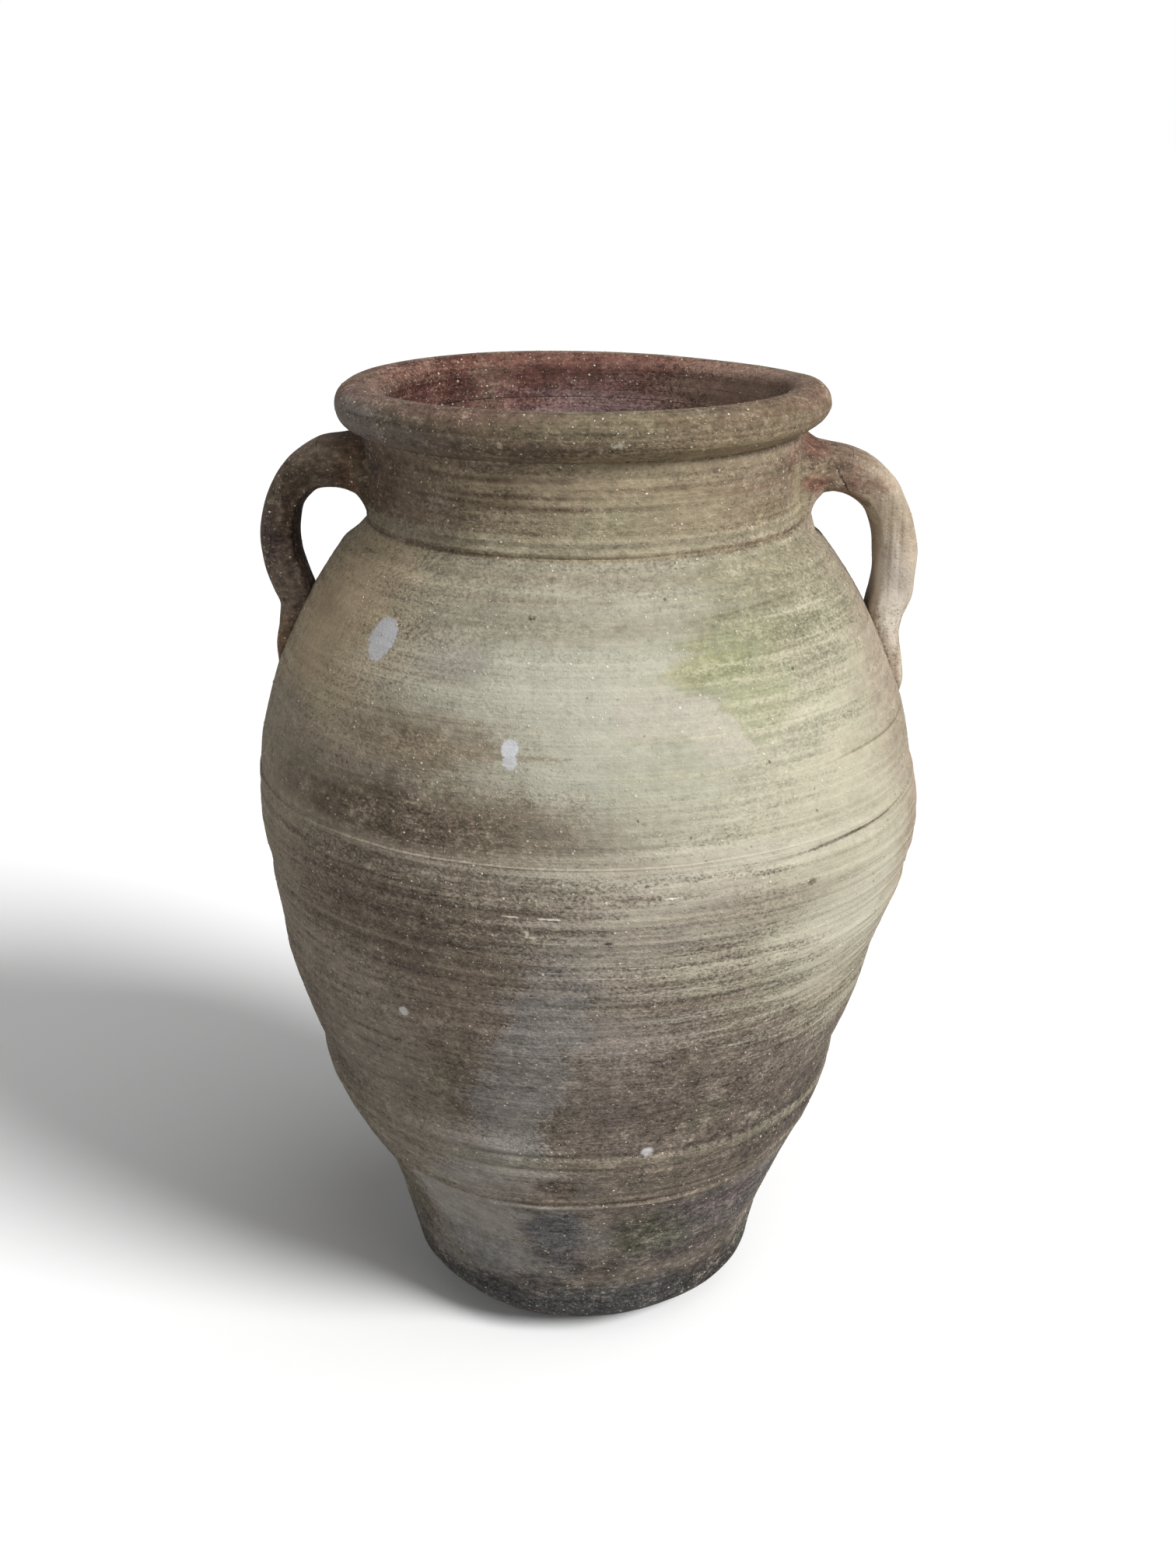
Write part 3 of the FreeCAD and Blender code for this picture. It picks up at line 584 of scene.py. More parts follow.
shoulder_clay = weathered_and_shaded("shoulder_clay", (128, 117, 101), [
    StainOrPaintedLight((137, 131, 112), 0, 588, 78, 34, 0.8, 0.6, 0.4, 0.3),
    StainOrPaintedLight((172, 154, 126), -60, 552, 25, 56, 0.9, 0.5, 0.3, 0.5),
    StainOrPaintedLight((130, 109, 84), -68, 560, 7, 9, 0.4, 0.6, 0.5, 0.8),
    StainOrPaintedLight((142, 131, 116), -62, 482, 14, 26, 0.8, 0.5, 0.2, 0.5),
    StainOrPaintedLight((126, 113, 96), 150, 560, 50, 30, 0.8, 0.8, 0.6, 0.5),
    StainOrPaintedLight((158, 154, 136), -128, 500, 36, 62, 0.8, 0.9, 0.5, 0.5),
    StainOrPaintedLight((150, 143, 123), 168, 486, 30, 24, 0.6, 0.9, 0.5, 0.6),
    pale_bloom, green_right,
    StainOrPaintedLight((126, 123, 100), 53, 556, 26, 34, 0.8, 0.6, 0.4, 0.3),
    *algae, *washed_lobes,
    StainOrPaintedLight((133, 125, 104), 60, 594, 24, 20, 0.8, 0.6, 0.4),
    StainOrPaintedLight((120, 106, 87), -27, 500, 15, 17, 0.85, 0.6, 0.5, 0.6),
    StainOrPaintedLight((142, 136, 126), -24, 548, 6, 10, 0.6, 0.6, 0.1, 0.4),
    StainOrPaintedLight((124, 112, 95), -8, 596, 26, 3.5, 0.5, 0.7, 0.6, 0.5),
    StainOrPaintedLight((128, 116, 98), -16, 585, 18, 3.0, 0.5, 0.7, 0.6, 0.5),
    StainOrPaintedLight((126, 119, 100), -8, 571, 24, 8, 0.6, 0.7, 0.4, 0.5),
    left_haze, grainy_brown, grainy_end, pale_right, tan_edge,
    StainOrPaintedLight((182, 176, 158), 15, 460, 10, 13, 0.5, 0.7, 0.4, 0.5),
    StainOrPaintedLight((158, 152, 132), 46, 441, 11, 8, 0.6, 0.7, 0.4, 0.4),
    StainOrPaintedLight((152, 140, 122), -50, 486, 12, 8, 0.6, 0.7, 0.4, 0.6),
    ridge_pale, ridge_left, crack_shade,
    # Painted shade along the two higher drying cracks
    StainOrPaintedLight((104, 92, 68), 61, 479.5, 15, 0.9, 0.6, 0.6, 0.0, 0.4, 0.1),
    StainOrPaintedLight((112, 104, 80), 38, 576, 13, 0.9, 0.6, 0.6, 0.0, 0.4, 0.22),
    StainOrPaintedLight((60, 54, 44), -10.6, 577, 0.8, 1.6, 0.9, 0.4, 0.0, 0.1),
    *plaster,
], 0.8, 1.25, inside)
shoulder_rows = wall_rows("shoulder_section", span("belly_section")[1], span("neck_collar")[0])
shoulder = turned("shoulder_section", shoulder_rows, shoulder_clay)

# Neck: a short collar thrown on the shoulder, with a groove pressed in where they meet.
# Wet hands left brown slip on it in streaks, and inside it shows the clay's own red.
lining = RED_CLAY, [
    StainOrPaintedLight((66, 35, 29), -54, 686, 50, 30, 0.85, 0.6, 0.3, 0.4),
    StainOrPaintedLight((140, 117, 116), 8, 656, 26, 17, 0.8, 0.8, 0.4, 0.5),
    # Painted light on the inner wall at the back right, which the key light leaves in shade
    StainOrPaintedLight((164, 138, 121), 60, 668, 30, 34, 0.85, 0.6, 0.3, 0.4),
    StainOrPaintedLight((132, 92, 78), -24, 696, 60, 2.4, 0.4, 0.9, 0.6, 0.5),
    StainOrPaintedLight((74, 52, 48), 18, 683, 26, 7, 0.4, 0.8, 0.4, 0.5),
    StainOrPaintedLight((110, 96, 82), 180, 690, 95, 20, 0.8, 0.5, 0.3, 0.4)]
neck_clay = weathered_and_shaded("neck_clay", (122, 107, 91), [
    StainOrPaintedLight((153, 141, 116), 14, 640, 38, 48, 0.9, 0.7, 0.4, 0.5),
    StainOrPaintedLight((130, 117, 95), 60, 640, 22, 44, 0.8, 0.6, 0.5, 0.5),
    # Painted shade beside the left handle's root, darkest in the crevice where it meets the neck
    StainOrPaintedLight((78, 61, 48), -74, 642, 18, 40, 0.9, 0.4, 0.4, 0.4),
    StainOrPaintedLight((46, 34, 27), -74, 654, 10, 12, 0.85, 0.5, 0.2, 0.4),
    StainOrPaintedLight((90, 75, 62), -56, 656, 16, 7, 0.7, 0.6, 0.4, 0.5),
    StainOrPaintedLight((162, 146, 122), -17, 655, 16, 5, 0.8, 0.6, 0.5, 0.6),
    StainOrPaintedLight((100, 84, 68), 66, 650, 13, 14, 0.65, 0.6, 0.4, 0.5),
    *alike(0.7, 0.5, 0.5, ((102, 85, 70), -34, 656, 26, 1.8, 0.8), ((96, 80, 65), -16, 646, 18, 1.5, 0.8),
           ((94, 78, 64), -40, 641, 18, 1.4, 0.7), ((98, 82, 67), -8, 639, 20, 1.5, 0.8),
           ((100, 84, 70), -28, 630, 26, 1.5, 0.7)),
    *alike(0.7, 0.6, 0.6, ((116, 98, 80), 28, 651, 16, 1.6, 0.6), ((112, 92, 76), 48, 645, 14, 2.6, 0.6),
           ((114, 95, 78), 54, 631, 16, 2.2, 0.55)),
    StainOrPaintedLight((132, 128, 106), 4, 628, 14, 9, 0.5, 0.7, 0.3, 0.6),
    StainOrPaintedLight((150, 143, 122), 0, 615, 120, 5, 0.6, 0.6, 0.4, 0.4),
    StainOrPaintedLight((150, 138, 111), 70, 632, 5, 26, 0.75, 0.5, 0.2, 0.6),
    StainOrPaintedLight((108, 76, 64), 69, 661, 8, 7, 0.8, 0.5, 0.2, 0.9),
    StainOrPaintedLight((116, 88, 74), 66, 646, 2, 18, 0.6, 0.5, 0.1, 0.9),
    # Painted light on the neck under the rim on the right, against the rim's shadow
    StainOrPaintedLight((160, 146, 121), 34, 663, 40, 4, 0.5, 0.7, 0.3, 0.5),
    StainOrPaintedLight((122, 107, 90), 160, 640, 60, 30, 0.7, 0.6, 0.6, 0.5),
], 0.9, 1.3, lining, 0.8)
neck_rows = wall_rows("neck_collar", span("shoulder_section")[1], span("rim_roll")[0])
neck = turned("neck_collar", neck_rows, neck_clay)

# Rim: a thick roll of clay, folded outwards from the neck and pressed round with a wet cloth.
# It has grey and olive weathering on top and a darker band under its front; on the right, painted light
# lightens its underside and painted shade darkens its top.
roll_radius, roll_rows = 0.153, 110
roll_middle = (roll_radius, 0.0, sum(span("rim_roll")) / 2000)
rim_rows = []
for turn in np.linspace(0.0, 2 * math.pi, roll_rows, endpoint=False):
    spot = met("rim_roll", roll_middle, (math.cos(turn), 0.0, math.sin(turn)))
    rim_rows.append((spot.x * 1000, spot.z * 1000, float(np.clip(0.7 + math.cos(turn) * 1.2, 0.0, 1.0))))
rim_clay = weathered_and_shaded("rim_clay", (110, 97, 81), [
    StainOrPaintedLight((106, 97, 76), 6, 694, 34, 9, 0.7, 0.7, 0.3, 0.4),
    StainOrPaintedLight((103, 88, 73), -14, 677, 46, 8, 0.8, 0.7, 0.5, 0.5),
    StainOrPaintedLight((117, 110, 106), -70, 684, 20, 18, 0.7, 0.7, 0.3, 0.6),
    StainOrPaintedLight((104, 96, 93), -44, 680, 14, 8, 0.6, 0.7, 0.3, 0.6),
    StainOrPaintedLight((94, 70, 62), -42, 699, 28, 6, 0.8, 0.6, 0.3, 0.5),
    StainOrPaintedLight((86, 54, 46), -112, 699, 42, 8, 0.75, 0.6, 0.3, 0.5),
    StainOrPaintedLight((92, 76, 62), -30, 689, 16, 3, 0.6, 0.8, 0.5, 0.6),
    StainOrPaintedLight((127, 112, 90), 44, 684, 30, 14, 0.7, 0.7, 0.4, 0.4),
    # Painted light on the rim's underside on the right, and painted shade along its top there
    StainOrPaintedLight((160, 143, 115), 46, 673, 44, 7, 0.75, 0.7, 0.3, 0.5),
    StainOrPaintedLight((104, 88, 69), 44, 693, 28, 4, 0.5, 0.7, 0.4, 0.5),
    *alike(0.7, 0.6, 0.8, ((142, 134, 127), -58, 690, 9, 2.2, 0.7), ((138, 130, 122), -66, 678, 9, 2.5, 0.6),
           ((86, 76, 72), -52, 676, 12, 3.5, 0.6)),
    StainOrPaintedLight((98, 83, 66), 30, 693, 20, 3, 0.6, 0.8, 0.5, 0.5),
    StainOrPaintedLight((109, 87, 68), 84, 690, 18, 14, 0.8, 0.6, 0.3, 0.4),
    StainOrPaintedLight((104, 80, 66), 62, 699, 24, 5, 0.7, 0.7, 0.3, 0.5),
    StainOrPaintedLight((186, 178, 158), 7, 682, 1.4, 1.6, 0.8, 0.7, 0.0, 0.6),
    StainOrPaintedLight((176, 168, 148), -18, 681, 0.6, 2.0, 0.8, 0.5, 0.0, 0.3),
    StainOrPaintedLight((124, 112, 94), 170, 686, 60, 20, 0.7, 0.6, 0.3, 0.4),
], 1.3, 1.2, lining, 0.6)
rim = turned("rim_roll", rim_rows, rim_clay)

# Handles: two straps of clay pulled by hand, luted to the neck with soft clay and bent to the shoulder.
# Their tails are pressed flat with a thumb, which left a hollow in the right-hand one.


def maker(name, made, inputs):
    """A node tree that makes a shape, and its inputs by name."""
    tree = bpy.data.node_groups.new(name, "GeometryNodeTree")
    for label, kind in inputs.items():
        tree.interface.new_socket(label, in_out="INPUT", socket_type="NodeSocket" + kind)
    tree.interface.new_socket(made, in_out="OUTPUT", socket_type="NodeSocketGeometry")
    given = tree.nodes.new("NodeGroupInput")
    return tree, {socket.name: Wire(socket) for socket in given.outputs if socket.name}


def shaped(name, mesh, tree, amounts):
    """The mesh that a node tree makes from another one."""
    carrier = bpy.data.objects.new(name, mesh)
    bpy.context.collection.objects.link(carrier)
    modifier = carrier.modifiers.new(tree.name, "NODES")
    modifier.node_group = tree
    for item in tree.interface.items_tree:
        if item.name in amounts:
            modifier[item.identifier] = amounts[item.name]
    shape = bpy.data.meshes.new_from_object(carrier.evaluated_get(bpy.context.evaluated_depsgraph_get()))
    bpy.data.objects.remove(carrier)
    return shape


strap_tree, asked = maker("pulled_strap", "Strap", {
    "Path": "Geometry", "Clay": "Material", "Facets": "Int", "Squareness": "Float", "Finger Grooves": "Float",
    "Hollow Turn": "Float", "Hollow Depth": "Float"})


def strap_node(kind, sockets=None, output=0, **settings):
    return Wire.node(strap_tree, kind, sockets, output, **settings)


def named(attribute, data_type):
    return strap_node("GeometryNodeInputNamedAttribute", {"Name": attribute}, data_type=data_type)


def stored(geometry, attribute, value, data_type):
    return strap_node("GeometryNodeStoreNamedAttribute", {
        "Geometry": geometry, "Name": attribute, "Value": value}, data_type=data_type, domain="POINT")


path = strap_node("GeometryNodeMeshToCurve", {"Mesh": asked["Path"]})
path = stored(path, "middle", strap_node("GeometryNodeInputPosition"), "FLOAT_VECTOR")
oval = strap_node("GeometryNodeCurvePrimitiveCircle", {"Resolution": asked["Facets"], "Radius": 0.01},
                  mode="RADIUS")
oval = stored(oval, "turn", strap_node("GeometryNodeSplineParameter") * (2 * math.pi), "FLOAT")
tube = strap_node("GeometryNodeCurveToMesh", {"Curve": path, "Profile Curve": oval, "Fill Caps": True})
turn = named("turn", "FLOAT")
sides = []
for wave in ("COSINE", "SINE"):
    swing = turn.math(wave, turn)
    sides.append(swing.math("SIGN", swing) * swing.math("ABSOLUTE", swing).power(asked["Squareness"]))
groove = 1.0 + asked["Finger Grooves"] * turn.math("COSINE", turn * 7.0)
outward = strap_node("ShaderNodeVectorMath", {0: named("along", "FLOAT_VECTOR"), 1: (0.0, 1.0, 0.0)},
                     operation="CROSS_PRODUCT")
depth = outward.scaled(sides[0] * named("half_thickness", "FLOAT") * groove)
hollow = (turn.math("COSINE", turn - asked["Hollow Turn"]) * 0.5 + 0.5).power(36.0) * asked["Hollow Depth"]
width = strap_node("ShaderNodeCombineXYZ", {"Y": sides[1] * named("half_width", "FLOAT") * (1.0 - hollow)})
offset = strap_node("ShaderNodeVectorMath", {0: depth, 1: width}, operation="ADD")
place = strap_node("ShaderNodeVectorMath", {0: named("middle", "FLOAT_VECTOR"), 1: offset}, operation="ADD")
tube = strap_node("GeometryNodeSetPosition", {"Geometry": tube, "Position": place})
# Combed lines along the strap, and its finger hollow as a deep groove, for the clay's colour: the hollow
# comes out darker, as painted shade
combed = (turn.math("SINE", turn * 5.0 + 1.0) + turn.math("SINE", turn * 11.0)
          + turn.math("SINE", turn * 17.0 + 2.0) + turn.math("SINE", turn * 29.0 + 4.0)) * 0.7
tube = stored(tube, "ridge", combed - hollow * 22.0, "FLOAT")
tube = strap_node("GeometryNodeRealizeInstances", {"Geometry": tube})
tube = strap_node("GeometryNodeSetMaterial", {"Geometry": tube, "Material": asked["Clay"]})
tube.into(strap_tree.nodes.new("NodeGroupOutput").inputs[0])

handle_clay = weathered_and_shaded("handle_clay", (116, 101, 87), [
    StainOrPaintedLight((88, 74, 63), -190, 590, 60, 100, 0.9, 0.6, 0.3, 0.4),
    # Painted highlight along the top of the left handle's bend
    StainOrPaintedLight((118, 101, 87), -186, 652, 26, 9, 0.85, 0.6, 0.3, 0.4),
    StainOrPaintedLight((94, 70, 54), -156, 640, 14, 30, 0.8, 0.6, 0.2, 0.5),
    # Painted shade in the crease where the left root meets the neck, then painted shade along both edges of
    # the left strap with a painted lighter line between
    StainOrPaintedLight((50, 38, 31), -151, 636, 3.5, 30, 0.7, 0.6, 0.1, 0.5),
    StainOrPaintedLight((66, 49, 40), -203, 605, 7, 40, 0.85, 0.6, 0.3, 0.4),
    StainOrPaintedLight((74, 63, 61), -220, 592, 6, 30, 0.7, 0.6, 0.3, 0.5),
    StainOrPaintedLight((104, 92, 82), -213, 606, 2.2, 30, 0.6, 0.6, 0.4, 0.5),
    StainOrPaintedLight((116, 102, 91), -212, 558, 14, 26, 0.8, 0.6, 0.3, 0.4),
    StainOrPaintedLight((122, 99, 73), -212, 520, 12, 16, 0.6, 0.6, 0.3, 0.6),
    StainOrPaintedLight((180, 165, 144), 200, 582, 60, 110, 0.92, 0.6, 0.3, 0.4),
    StainOrPaintedLight((102, 81, 64), 166, 650, 34, 20, 0.85, 0.6, 0.2, 0.7),
    StainOrPaintedLight((212, 204, 192), 214, 556, 16, 34, 0.85, 0.6, 0.4, 0.4),
    # Painted shade: a thin dark line down the right strap's inner edge and, first in the next group, a darker
    # outer edge that evens out its lit side; the narrow lines after it are streaks
    StainOrPaintedLight((150, 132, 113), 204, 590, 2.6, 40, 0.4, 0.6, 0.4, 0.5),
    *alike(0.7, 0.4, 0.5, ((166, 148, 128), 228, 590, 5, 50, 0.6), ((148, 130, 110), 213, 596, 1.6, 34, 0.6),
           ((150, 133, 113), 221, 590, 1.6, 30, 0.5)),
    # Painted shade along the lower edge of the right strap's bend
    StainOrPaintedLight((104, 86, 70), 190, 619, 9, 3.5, 0.7, 0.6, 0.2, 0.5, -0.5),
    StainOrPaintedLight((138, 129, 105), 143, 632, 9, 34, 0.85, 0.6, 0.2, 0.6),
    StainOrPaintedLight((98, 66, 54), 155, 660, 12, 8, 0.85, 0.4, 0.2, 0.8),
    StainOrPaintedLight((118, 78, 64), 157, 634, 9, 6, 0.8, 0.4, 0.2, 0.9),
    StainOrPaintedLight((146, 132, 108), 162, 644, 6, 5, 0.6, 0.5, 0.2, 0.9),
    StainOrPaintedLight((126, 92, 77), 184, 630, 7, 10, 0.6, 0.6, 0.3, 0.9),
    StainOrPaintedLight((132, 100, 85), 200, 630, 9, 6, 0.6, 0.6, 0.3, 0.9),
    StainOrPaintedLight((160, 158, 134), 228, 503, 4, 14, 0.6, 0.6, 0.1, 0.4),
    StainOrPaintedLight((112, 97, 82), 221.5, 503, 1.6, 16, 0.6, 0.5, 0.1, 0.3),
    # Painted shade in the groove that fingers pressed into the right root
    StainOrPaintedLight((52, 39, 31), 177, 635.5, 6.5, 1.9, 0.95, 0.4, 0.0, 0.2, -1.78),
    StainOrPaintedLight((190, 174, 156), 219, 494, 8, 20, 0.7, 0.6, 0.3, 0.5),
], 0.55, 1.5, sand=0.55, strap=True)
wall_radii, wall_levels, _ = np.array([row for row in shoulder_rows + neck_rows if row[2] == 1.0]).T
BEDDED = 8.0
# How far from the axis a strap's sections stand upright, and the length in which they turn square to it
ROOT_END = 160.0
ROOT_TURN = 22.0


def hand_worked(mesh, seed, marks):
    """Lumps left by the hand, and marks pressed in: (x, y, height, radius, depth), in millimetres.
    What is bedded in the wall goes only so deep, so that it doesn't show inside the jar."""
    chance = np.random.default_rng(seed)
    places, middles = np.empty((2, len(mesh.vertices) * 3))
    mesh.vertices.foreach_get("co", places)
    mesh.attributes["middle"].data.foreach_get("vector", middles)
    places, middles = places.reshape(-1, 3) * 1000, middles.reshape(-1, 3) * 1000
    outwards = places - middles
    outwards /= np.linalg.norm(outwards, axis=1)[:, None]
    push = np.zeros(len(places))
    for _ in range(30):
        push += 0.10 * np.cos(places @ chance.normal(0.0, 0.12, 3) + chance.uniform(0, 6.28))
    for x, y, height, size, depth in marks:
        push -= depth * np.exp(-np.sum((places - (x, y, height)) ** 2, 1) / size ** 2)
    places = places + push[:, None] * outwards
    away = np.hypot(places[:, 0], places[:, 1])
    bed = np.interp(places[:, 2], wall_levels, wall_radii) - BEDDED
    places[:, :2] *= (np.maximum(away, bed) / away)[:, None]
    mesh.vertices.foreach_set("co", places.reshape(-1) * MM)


def clay_length(name, side, stations, hollow, seed, marks):
    """One length of a handle, drawn through its stations."""
    out, height, thickness, breadth = stations.T
    mesh = bpy.data.meshes.new(name)
    points = np.stack([side * out, 0.0 * out, height], -1) * MM
    mesh.from_pydata(points.tolist(), [(i, i + 1) for i in range(len(points) - 1)], [])
    for attribute, amounts in (("half_thickness", thickness), ("half_width", breadth)):
        mesh.attributes.new(attribute, "FLOAT", "POINT").data.foreach_set("value", amounts * 0.5 * MM)
    along = np.gradient(points, axis=0)
    along /= np.linalg.norm(along, axis=1)[:, None]
    bent = np.clip((out - ROOT_END) / ROOT_TURN, 0.0, 1.0)[:, None]
    along = bent * along + (1 - bent) * (side, 0.0, 0.0)
    along /= np.linalg.norm(along, axis=1)[:, None]
    mesh.attributes.new("along", "FLOAT_VECTOR", "POINT").data.foreach_set("vector", along.reshape(-1))
    shape = shaped(name + "_path", mesh, strap_tree, {
        "Clay": handle_clay, "Facets": 96, "Squareness": 0.66, "Finger Grooves": 0.02,
        "Hollow Turn": 1.5 * math.pi - 0.3 * side, "Hollow Depth": hollow})
    hand_worked(shape, seed, marks)
    piece = finished(name, shape, handle_clay)
    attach(piece, "root")
    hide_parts(name)
    return piece


def handle(name, side, stations, luting_end, pad_start, hollow, seed, marks):
    """A handle's three lengths: the luted root, the strap and the pressed tail.
    A station is (distance from the axis, height, thickness, width).
    A finger has drawn a hollow along the front."""
    knots = np.array(stations, float)
    steps = np.hypot(*np.diff(knots[:, :2], axis=0).T)
    travelled = np.concatenate([[0.0], np.cumsum(steps)])
    cuts = [0.0, travelled[luting_end], travelled[pad_start], travelled[-1]]
    pieces = []
    for part, start, end in zip(("handle_luting", "handle", "thumb_pad"), cuts, cuts[1:]):
        reached = np.linspace(start, end, int((end - start) / ROW) + 2)
        drawn = np.stack([through(list(zip(travelled, column)), reached) for column in knots.T], -1)
        pieces.append(clay_length(f"{name}_{part}", side, drawn, hollow, seed, marks))
    return pieces


left_handle = handle("left", -1, [
    (140, 630, 78, 78), (149, 634, 66, 74), (153.5, 638.5, 50, 69), (158, 641.5, 41, 64), (163, 643, 38, 60),
    (170, 643.6, 36, 56), (182, 642.5, 34, 50), (194, 638, 30, 47), (203, 630.5, 27.5, 45),
    (210.8, 619, 25.5, 44), (215.3, 600, 26, 44), (214.5, 577, 26, 44), (209.5, 560, 26, 46),
    (205.3, 546, 24.5, 48), (206.8, 530, 25, 54), (212.5, 514, 18, 56), (216.5, 502, 8, 46)],
    6, 13, 0.12, 21, [(-168, -24, 636, 8, 2.2), (-186, -24, 634, 7, 1.6), (-219, -8, 528, 8, 2.0)])
right_handle = handle("right", 1, [
    (140, 626, 86, 78), (150, 628, 78, 74), (155, 632, 61, 69), (158.5, 637, 46, 64), (163, 640, 36.5, 59),
    (170, 640, 33, 55), (181, 637.8, 32, 50), (192, 633.2, 31, 47), (207, 620, 29, 46),
    (215.5, 604, 28.5, 45), (219.5, 587, 29, 45), (220.3, 572, 29, 46), (218.5, 551, 28.5, 47),
    (214.5, 536, 26, 50), (213.5, 523, 23, 54), (217.3, 506, 21.5, 60), (221, 491, 15, 60),
    (222.5, 478, 7, 48)],
    6, 13, 0.05, 22, [
        (174, -25, 642, 3, 1.6), (178, -25, 635, 3, 2.0), (182, -25, 628, 3, 1.6), (228, -14, 510, 6, 3.0),
        (229, -14, 500, 6, 3.4), (231, -14, 490, 5, 2.4), (233, 0, 541, 7, 1.6)])

# Lime grit: burnt limestone sand in the clay, which stands out pale where the surface has worn.
# The grains are strewn over all that shows, half sunk in.
grit_tree, asked = maker("lime_grit", "Grit", {
    "Surface": "Geometry", "Lime": "Material", "Grains per Square Metre": "Float", "Smallest": "Float",
    "Largest": "Float", "Seed": "Int"})
strewn = Wire.node(grit_tree, "GeometryNodeDistributePointsOnFaces", {
    "Mesh": asked["Surface"], "Density": asked["Grains per Square Metre"], "Seed": asked["Seed"]},
    distribute_method="RANDOM")
chance = strewn.beside("FunctionNodeRandomValue", {2: 0.0, 3: 1.0, "Seed": asked["Seed"]}, 1,
                       data_type="FLOAT")
size = asked["Smallest"] + (asked["Largest"] - asked["Smallest"]) * chance.power(4.0)
grain_shape = strewn.beside("ShaderNodeCombineXYZ", {0: size * 1.15, 1: size, 2: size * 0.55})
grains = strewn.beside("GeometryNodeInstanceOnPoints", {
    "Points": strewn, "Instance": strewn.beside("GeometryNodeMeshUVSphere", {"Segments": 4, "Rings": 3}),
    "Rotation": strewn.other("Rotation"), "Scale": grain_shape})
grains = grains.beside("GeometryNodeRealizeInstances", {"Geometry": grains})
grains = grains.beside("GeometryNodeSetMaterial", {"Geometry": grains, "Material": asked["Lime"]})
grains.into(grit_tree.nodes.new("NodeGroupOutput").inputs[0])

lime, lime_tree, lime_shader = matte("burnt_lime", 0.95, 0.15)
lime_place = Wire.node(lime_tree, "ShaderNodeTexCoord", output="Object")
lime_shade = lime_place.beside("ShaderNodeTexNoise", {"Vector": lime_place, "Scale": 260.0, "Detail": 2.0})
lime_colour = Wire.plain(lime_tree, paint(148, 136, 118))
lime_colour = lime_colour.tint(paint(226, 218, 202), lime_shade.rise(0.35, 0.7))
lime_colour.into(lime_shader["Base Color"])

surface_points, surface_faces, count = [], [], 0
for piece in [foot, lower_body, belly, shoulder, neck, rim, *left_handle, *right_handle]:
    mesh = piece.data
    points = np.empty(len(mesh.vertices) * 3)
    mesh.vertices.foreach_get("co", points)
    shown = np.ones(len(mesh.vertices))
    if piece in (foot, lower_body, belly, shoulder):
        mesh.attributes["outer"].data.foreach_get("value", shown)
    corners, starts, sizes = np.empty(len(mesh.loops), int), *np.empty((2, len(mesh.polygons)), int)
    mesh.loops.foreach_get("vertex_index", corners)
    mesh.polygons.foreach_get("loop_start", starts)
    mesh.polygons.foreach_get("loop_total", sizes)
    faces = corners[starts[sizes == 4][:, None] + np.arange(4)]
    surface_faces.append(faces[shown[faces].min(1) > 0.9] + count)
    surface_points.append(points.reshape(-1, 3))
    count += len(mesh.vertices)
surface = bpy.data.meshes.new("lime_grit")
surface.from_pydata(np.concatenate(surface_points).tolist(), [], np.concatenate(surface_faces).tolist())
grit_mesh = shaped("lime_grit_surface", surface, grit_tree, {
    "Lime": lime, "Grains per Square Metre": 10500.0, "Smallest": 0.00032, "Largest": 0.001, "Seed": 4})
grit = finished("lime_grit", grit_mesh, lime)
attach(grit, "root")

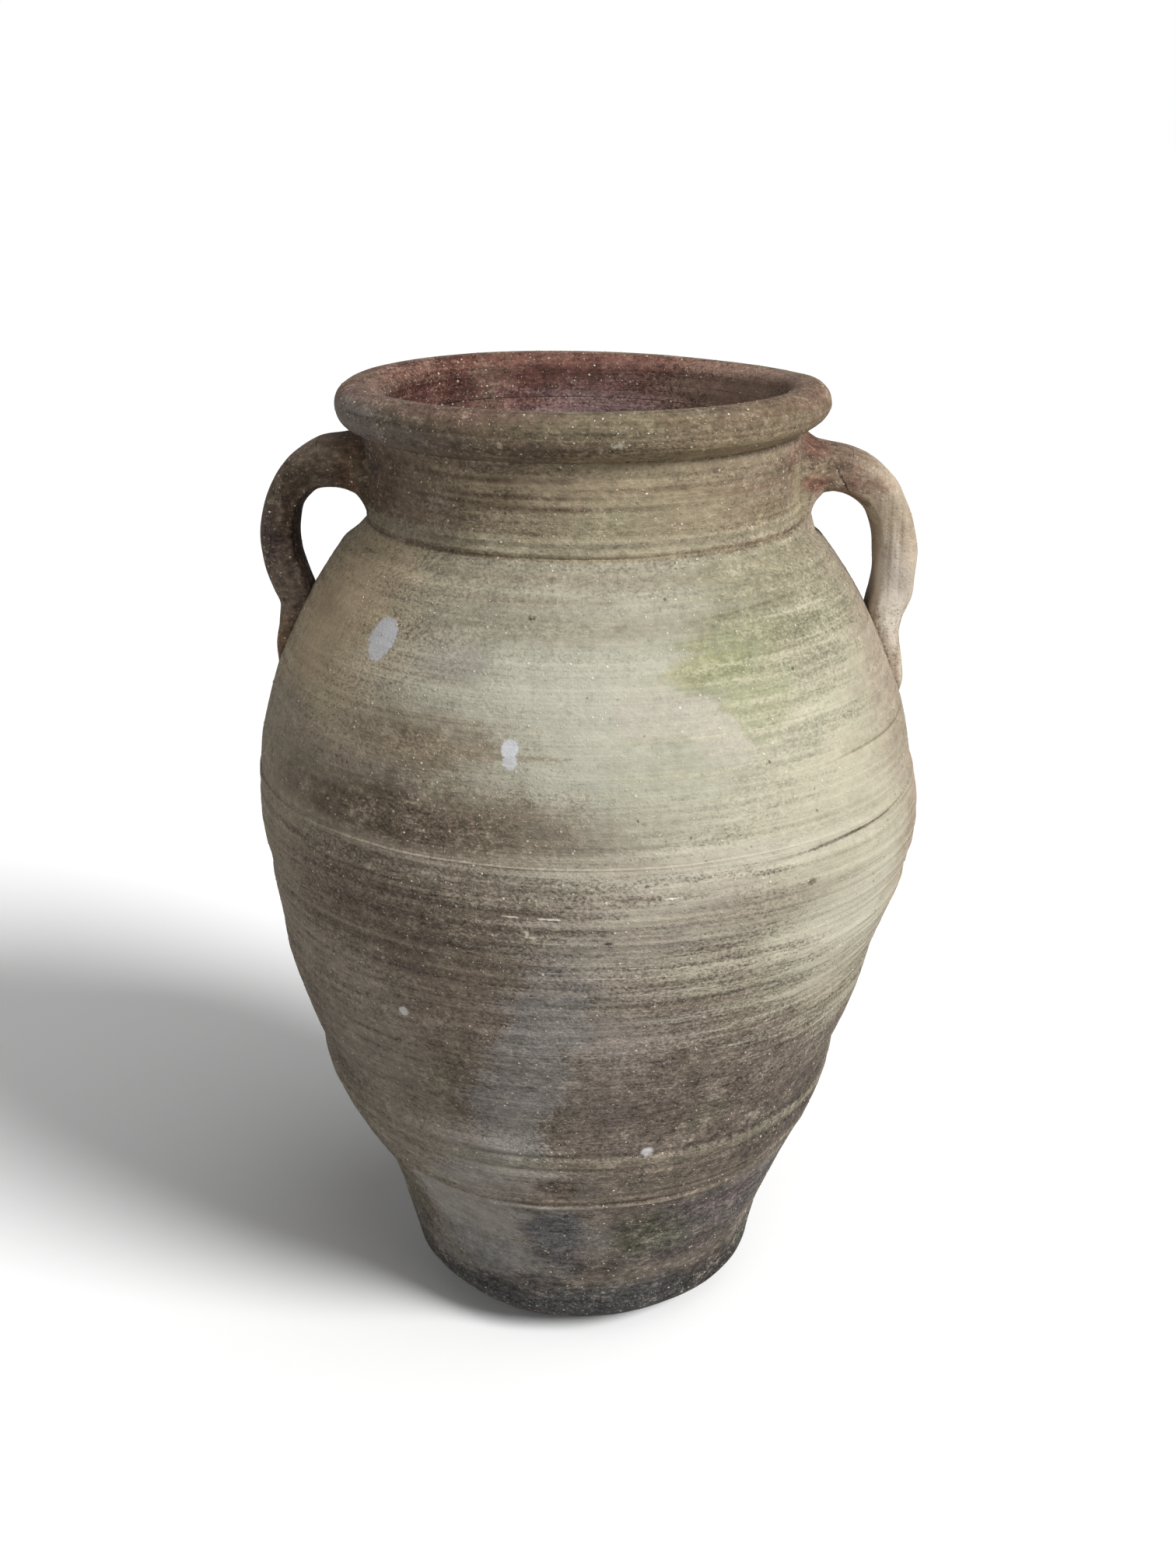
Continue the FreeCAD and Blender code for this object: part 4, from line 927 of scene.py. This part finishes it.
# Studio: a pale floor, a soft key light from the right, weak light from the left and above, a white surround.
# Floor and surround are white to the eye and grey to the jar, so that they light it no more than a room.
floor_mesh = bpy.data.meshes.new("studio_floor")
floor_mesh.from_pydata([(-30, -10, 0), (30, -10, 0), (30, 60, 0), (-30, 60, 0)], [], [(0, 1, 2, 3)])
studio_floor = bpy.data.objects.new("studio_floor", floor_mesh)
bpy.context.collection.objects.link(studio_floor)


def seen_white(tree):
    """1 where the eye sees a surface, straight, mirrored or through glass, and 0 where it only lights."""
    rays = Wire.node(tree, "ShaderNodeLightPath", output="Is Camera Ray")
    mirrored, through_glass = rays.other("Is Glossy Ray"), rays.other("Is Transmission Ray")
    return rays.math("MAXIMUM", rays, rays.math("MAXIMUM", mirrored, through_glass))


WHITE = (1.0, 1.0, 1.0, 1.0)
floor_paint, floor_tree, floor_shader = matte("floor_paint", 1.0, 0.0)
floor_colour = Wire.plain(floor_tree, (0.29, 0.28, 0.27, 1.0))
floor_colour.tint(WHITE, seen_white(floor_tree)).into(floor_shader["Base Color"])
floor_mesh.materials.append(floor_paint)

# Each light's strength, spread in degrees and way
for name, strength, spread, way in (("key_light", 3.72, 22, (-0.79, 0.55, -0.70)),
                                    ("fill_light", 1.42, 70, (0.45, 0.75, 0.06)),
                                    ("top_light", 0.75, 60, (-0.40, 0.20, -1.0))):
    lamp = bpy.data.lights.new(name, "SUN")
    lamp.energy = strength
    lamp.angle = math.radians(spread)
    light = bpy.data.objects.new(name, lamp)
    light.rotation_euler = Vector(way).to_track_quat("-Z", "Y").to_euler()
    bpy.context.collection.objects.link(light)

surround = bpy.data.worlds.new("white_surround")
surround.use_nodes = True
sky = surround.node_tree
backdrop = sky.nodes["Background"]
backdrop.inputs["Color"].default_value = WHITE
ambient = 0.14
(ambient + (1.0 - ambient) * seen_white(sky)).into(backdrop.inputs["Strength"])
bpy.context.scene.world = surround
bpy.context.scene.view_settings.view_transform = "Standard"

camera_data = bpy.data.cameras.new("camera")
camera_data.sensor_width = 36.0
camera_data.lens = 41.08
camera = bpy.data.objects.new("camera", camera_data)
camera.location = (0.0019, -1.2523, 0.866)
look_down = 20.33
camera.rotation_euler = (math.radians(90.0 - look_down), 0.0, 0.0)
bpy.context.collection.objects.link(camera)
bpy.context.scene.camera = camera
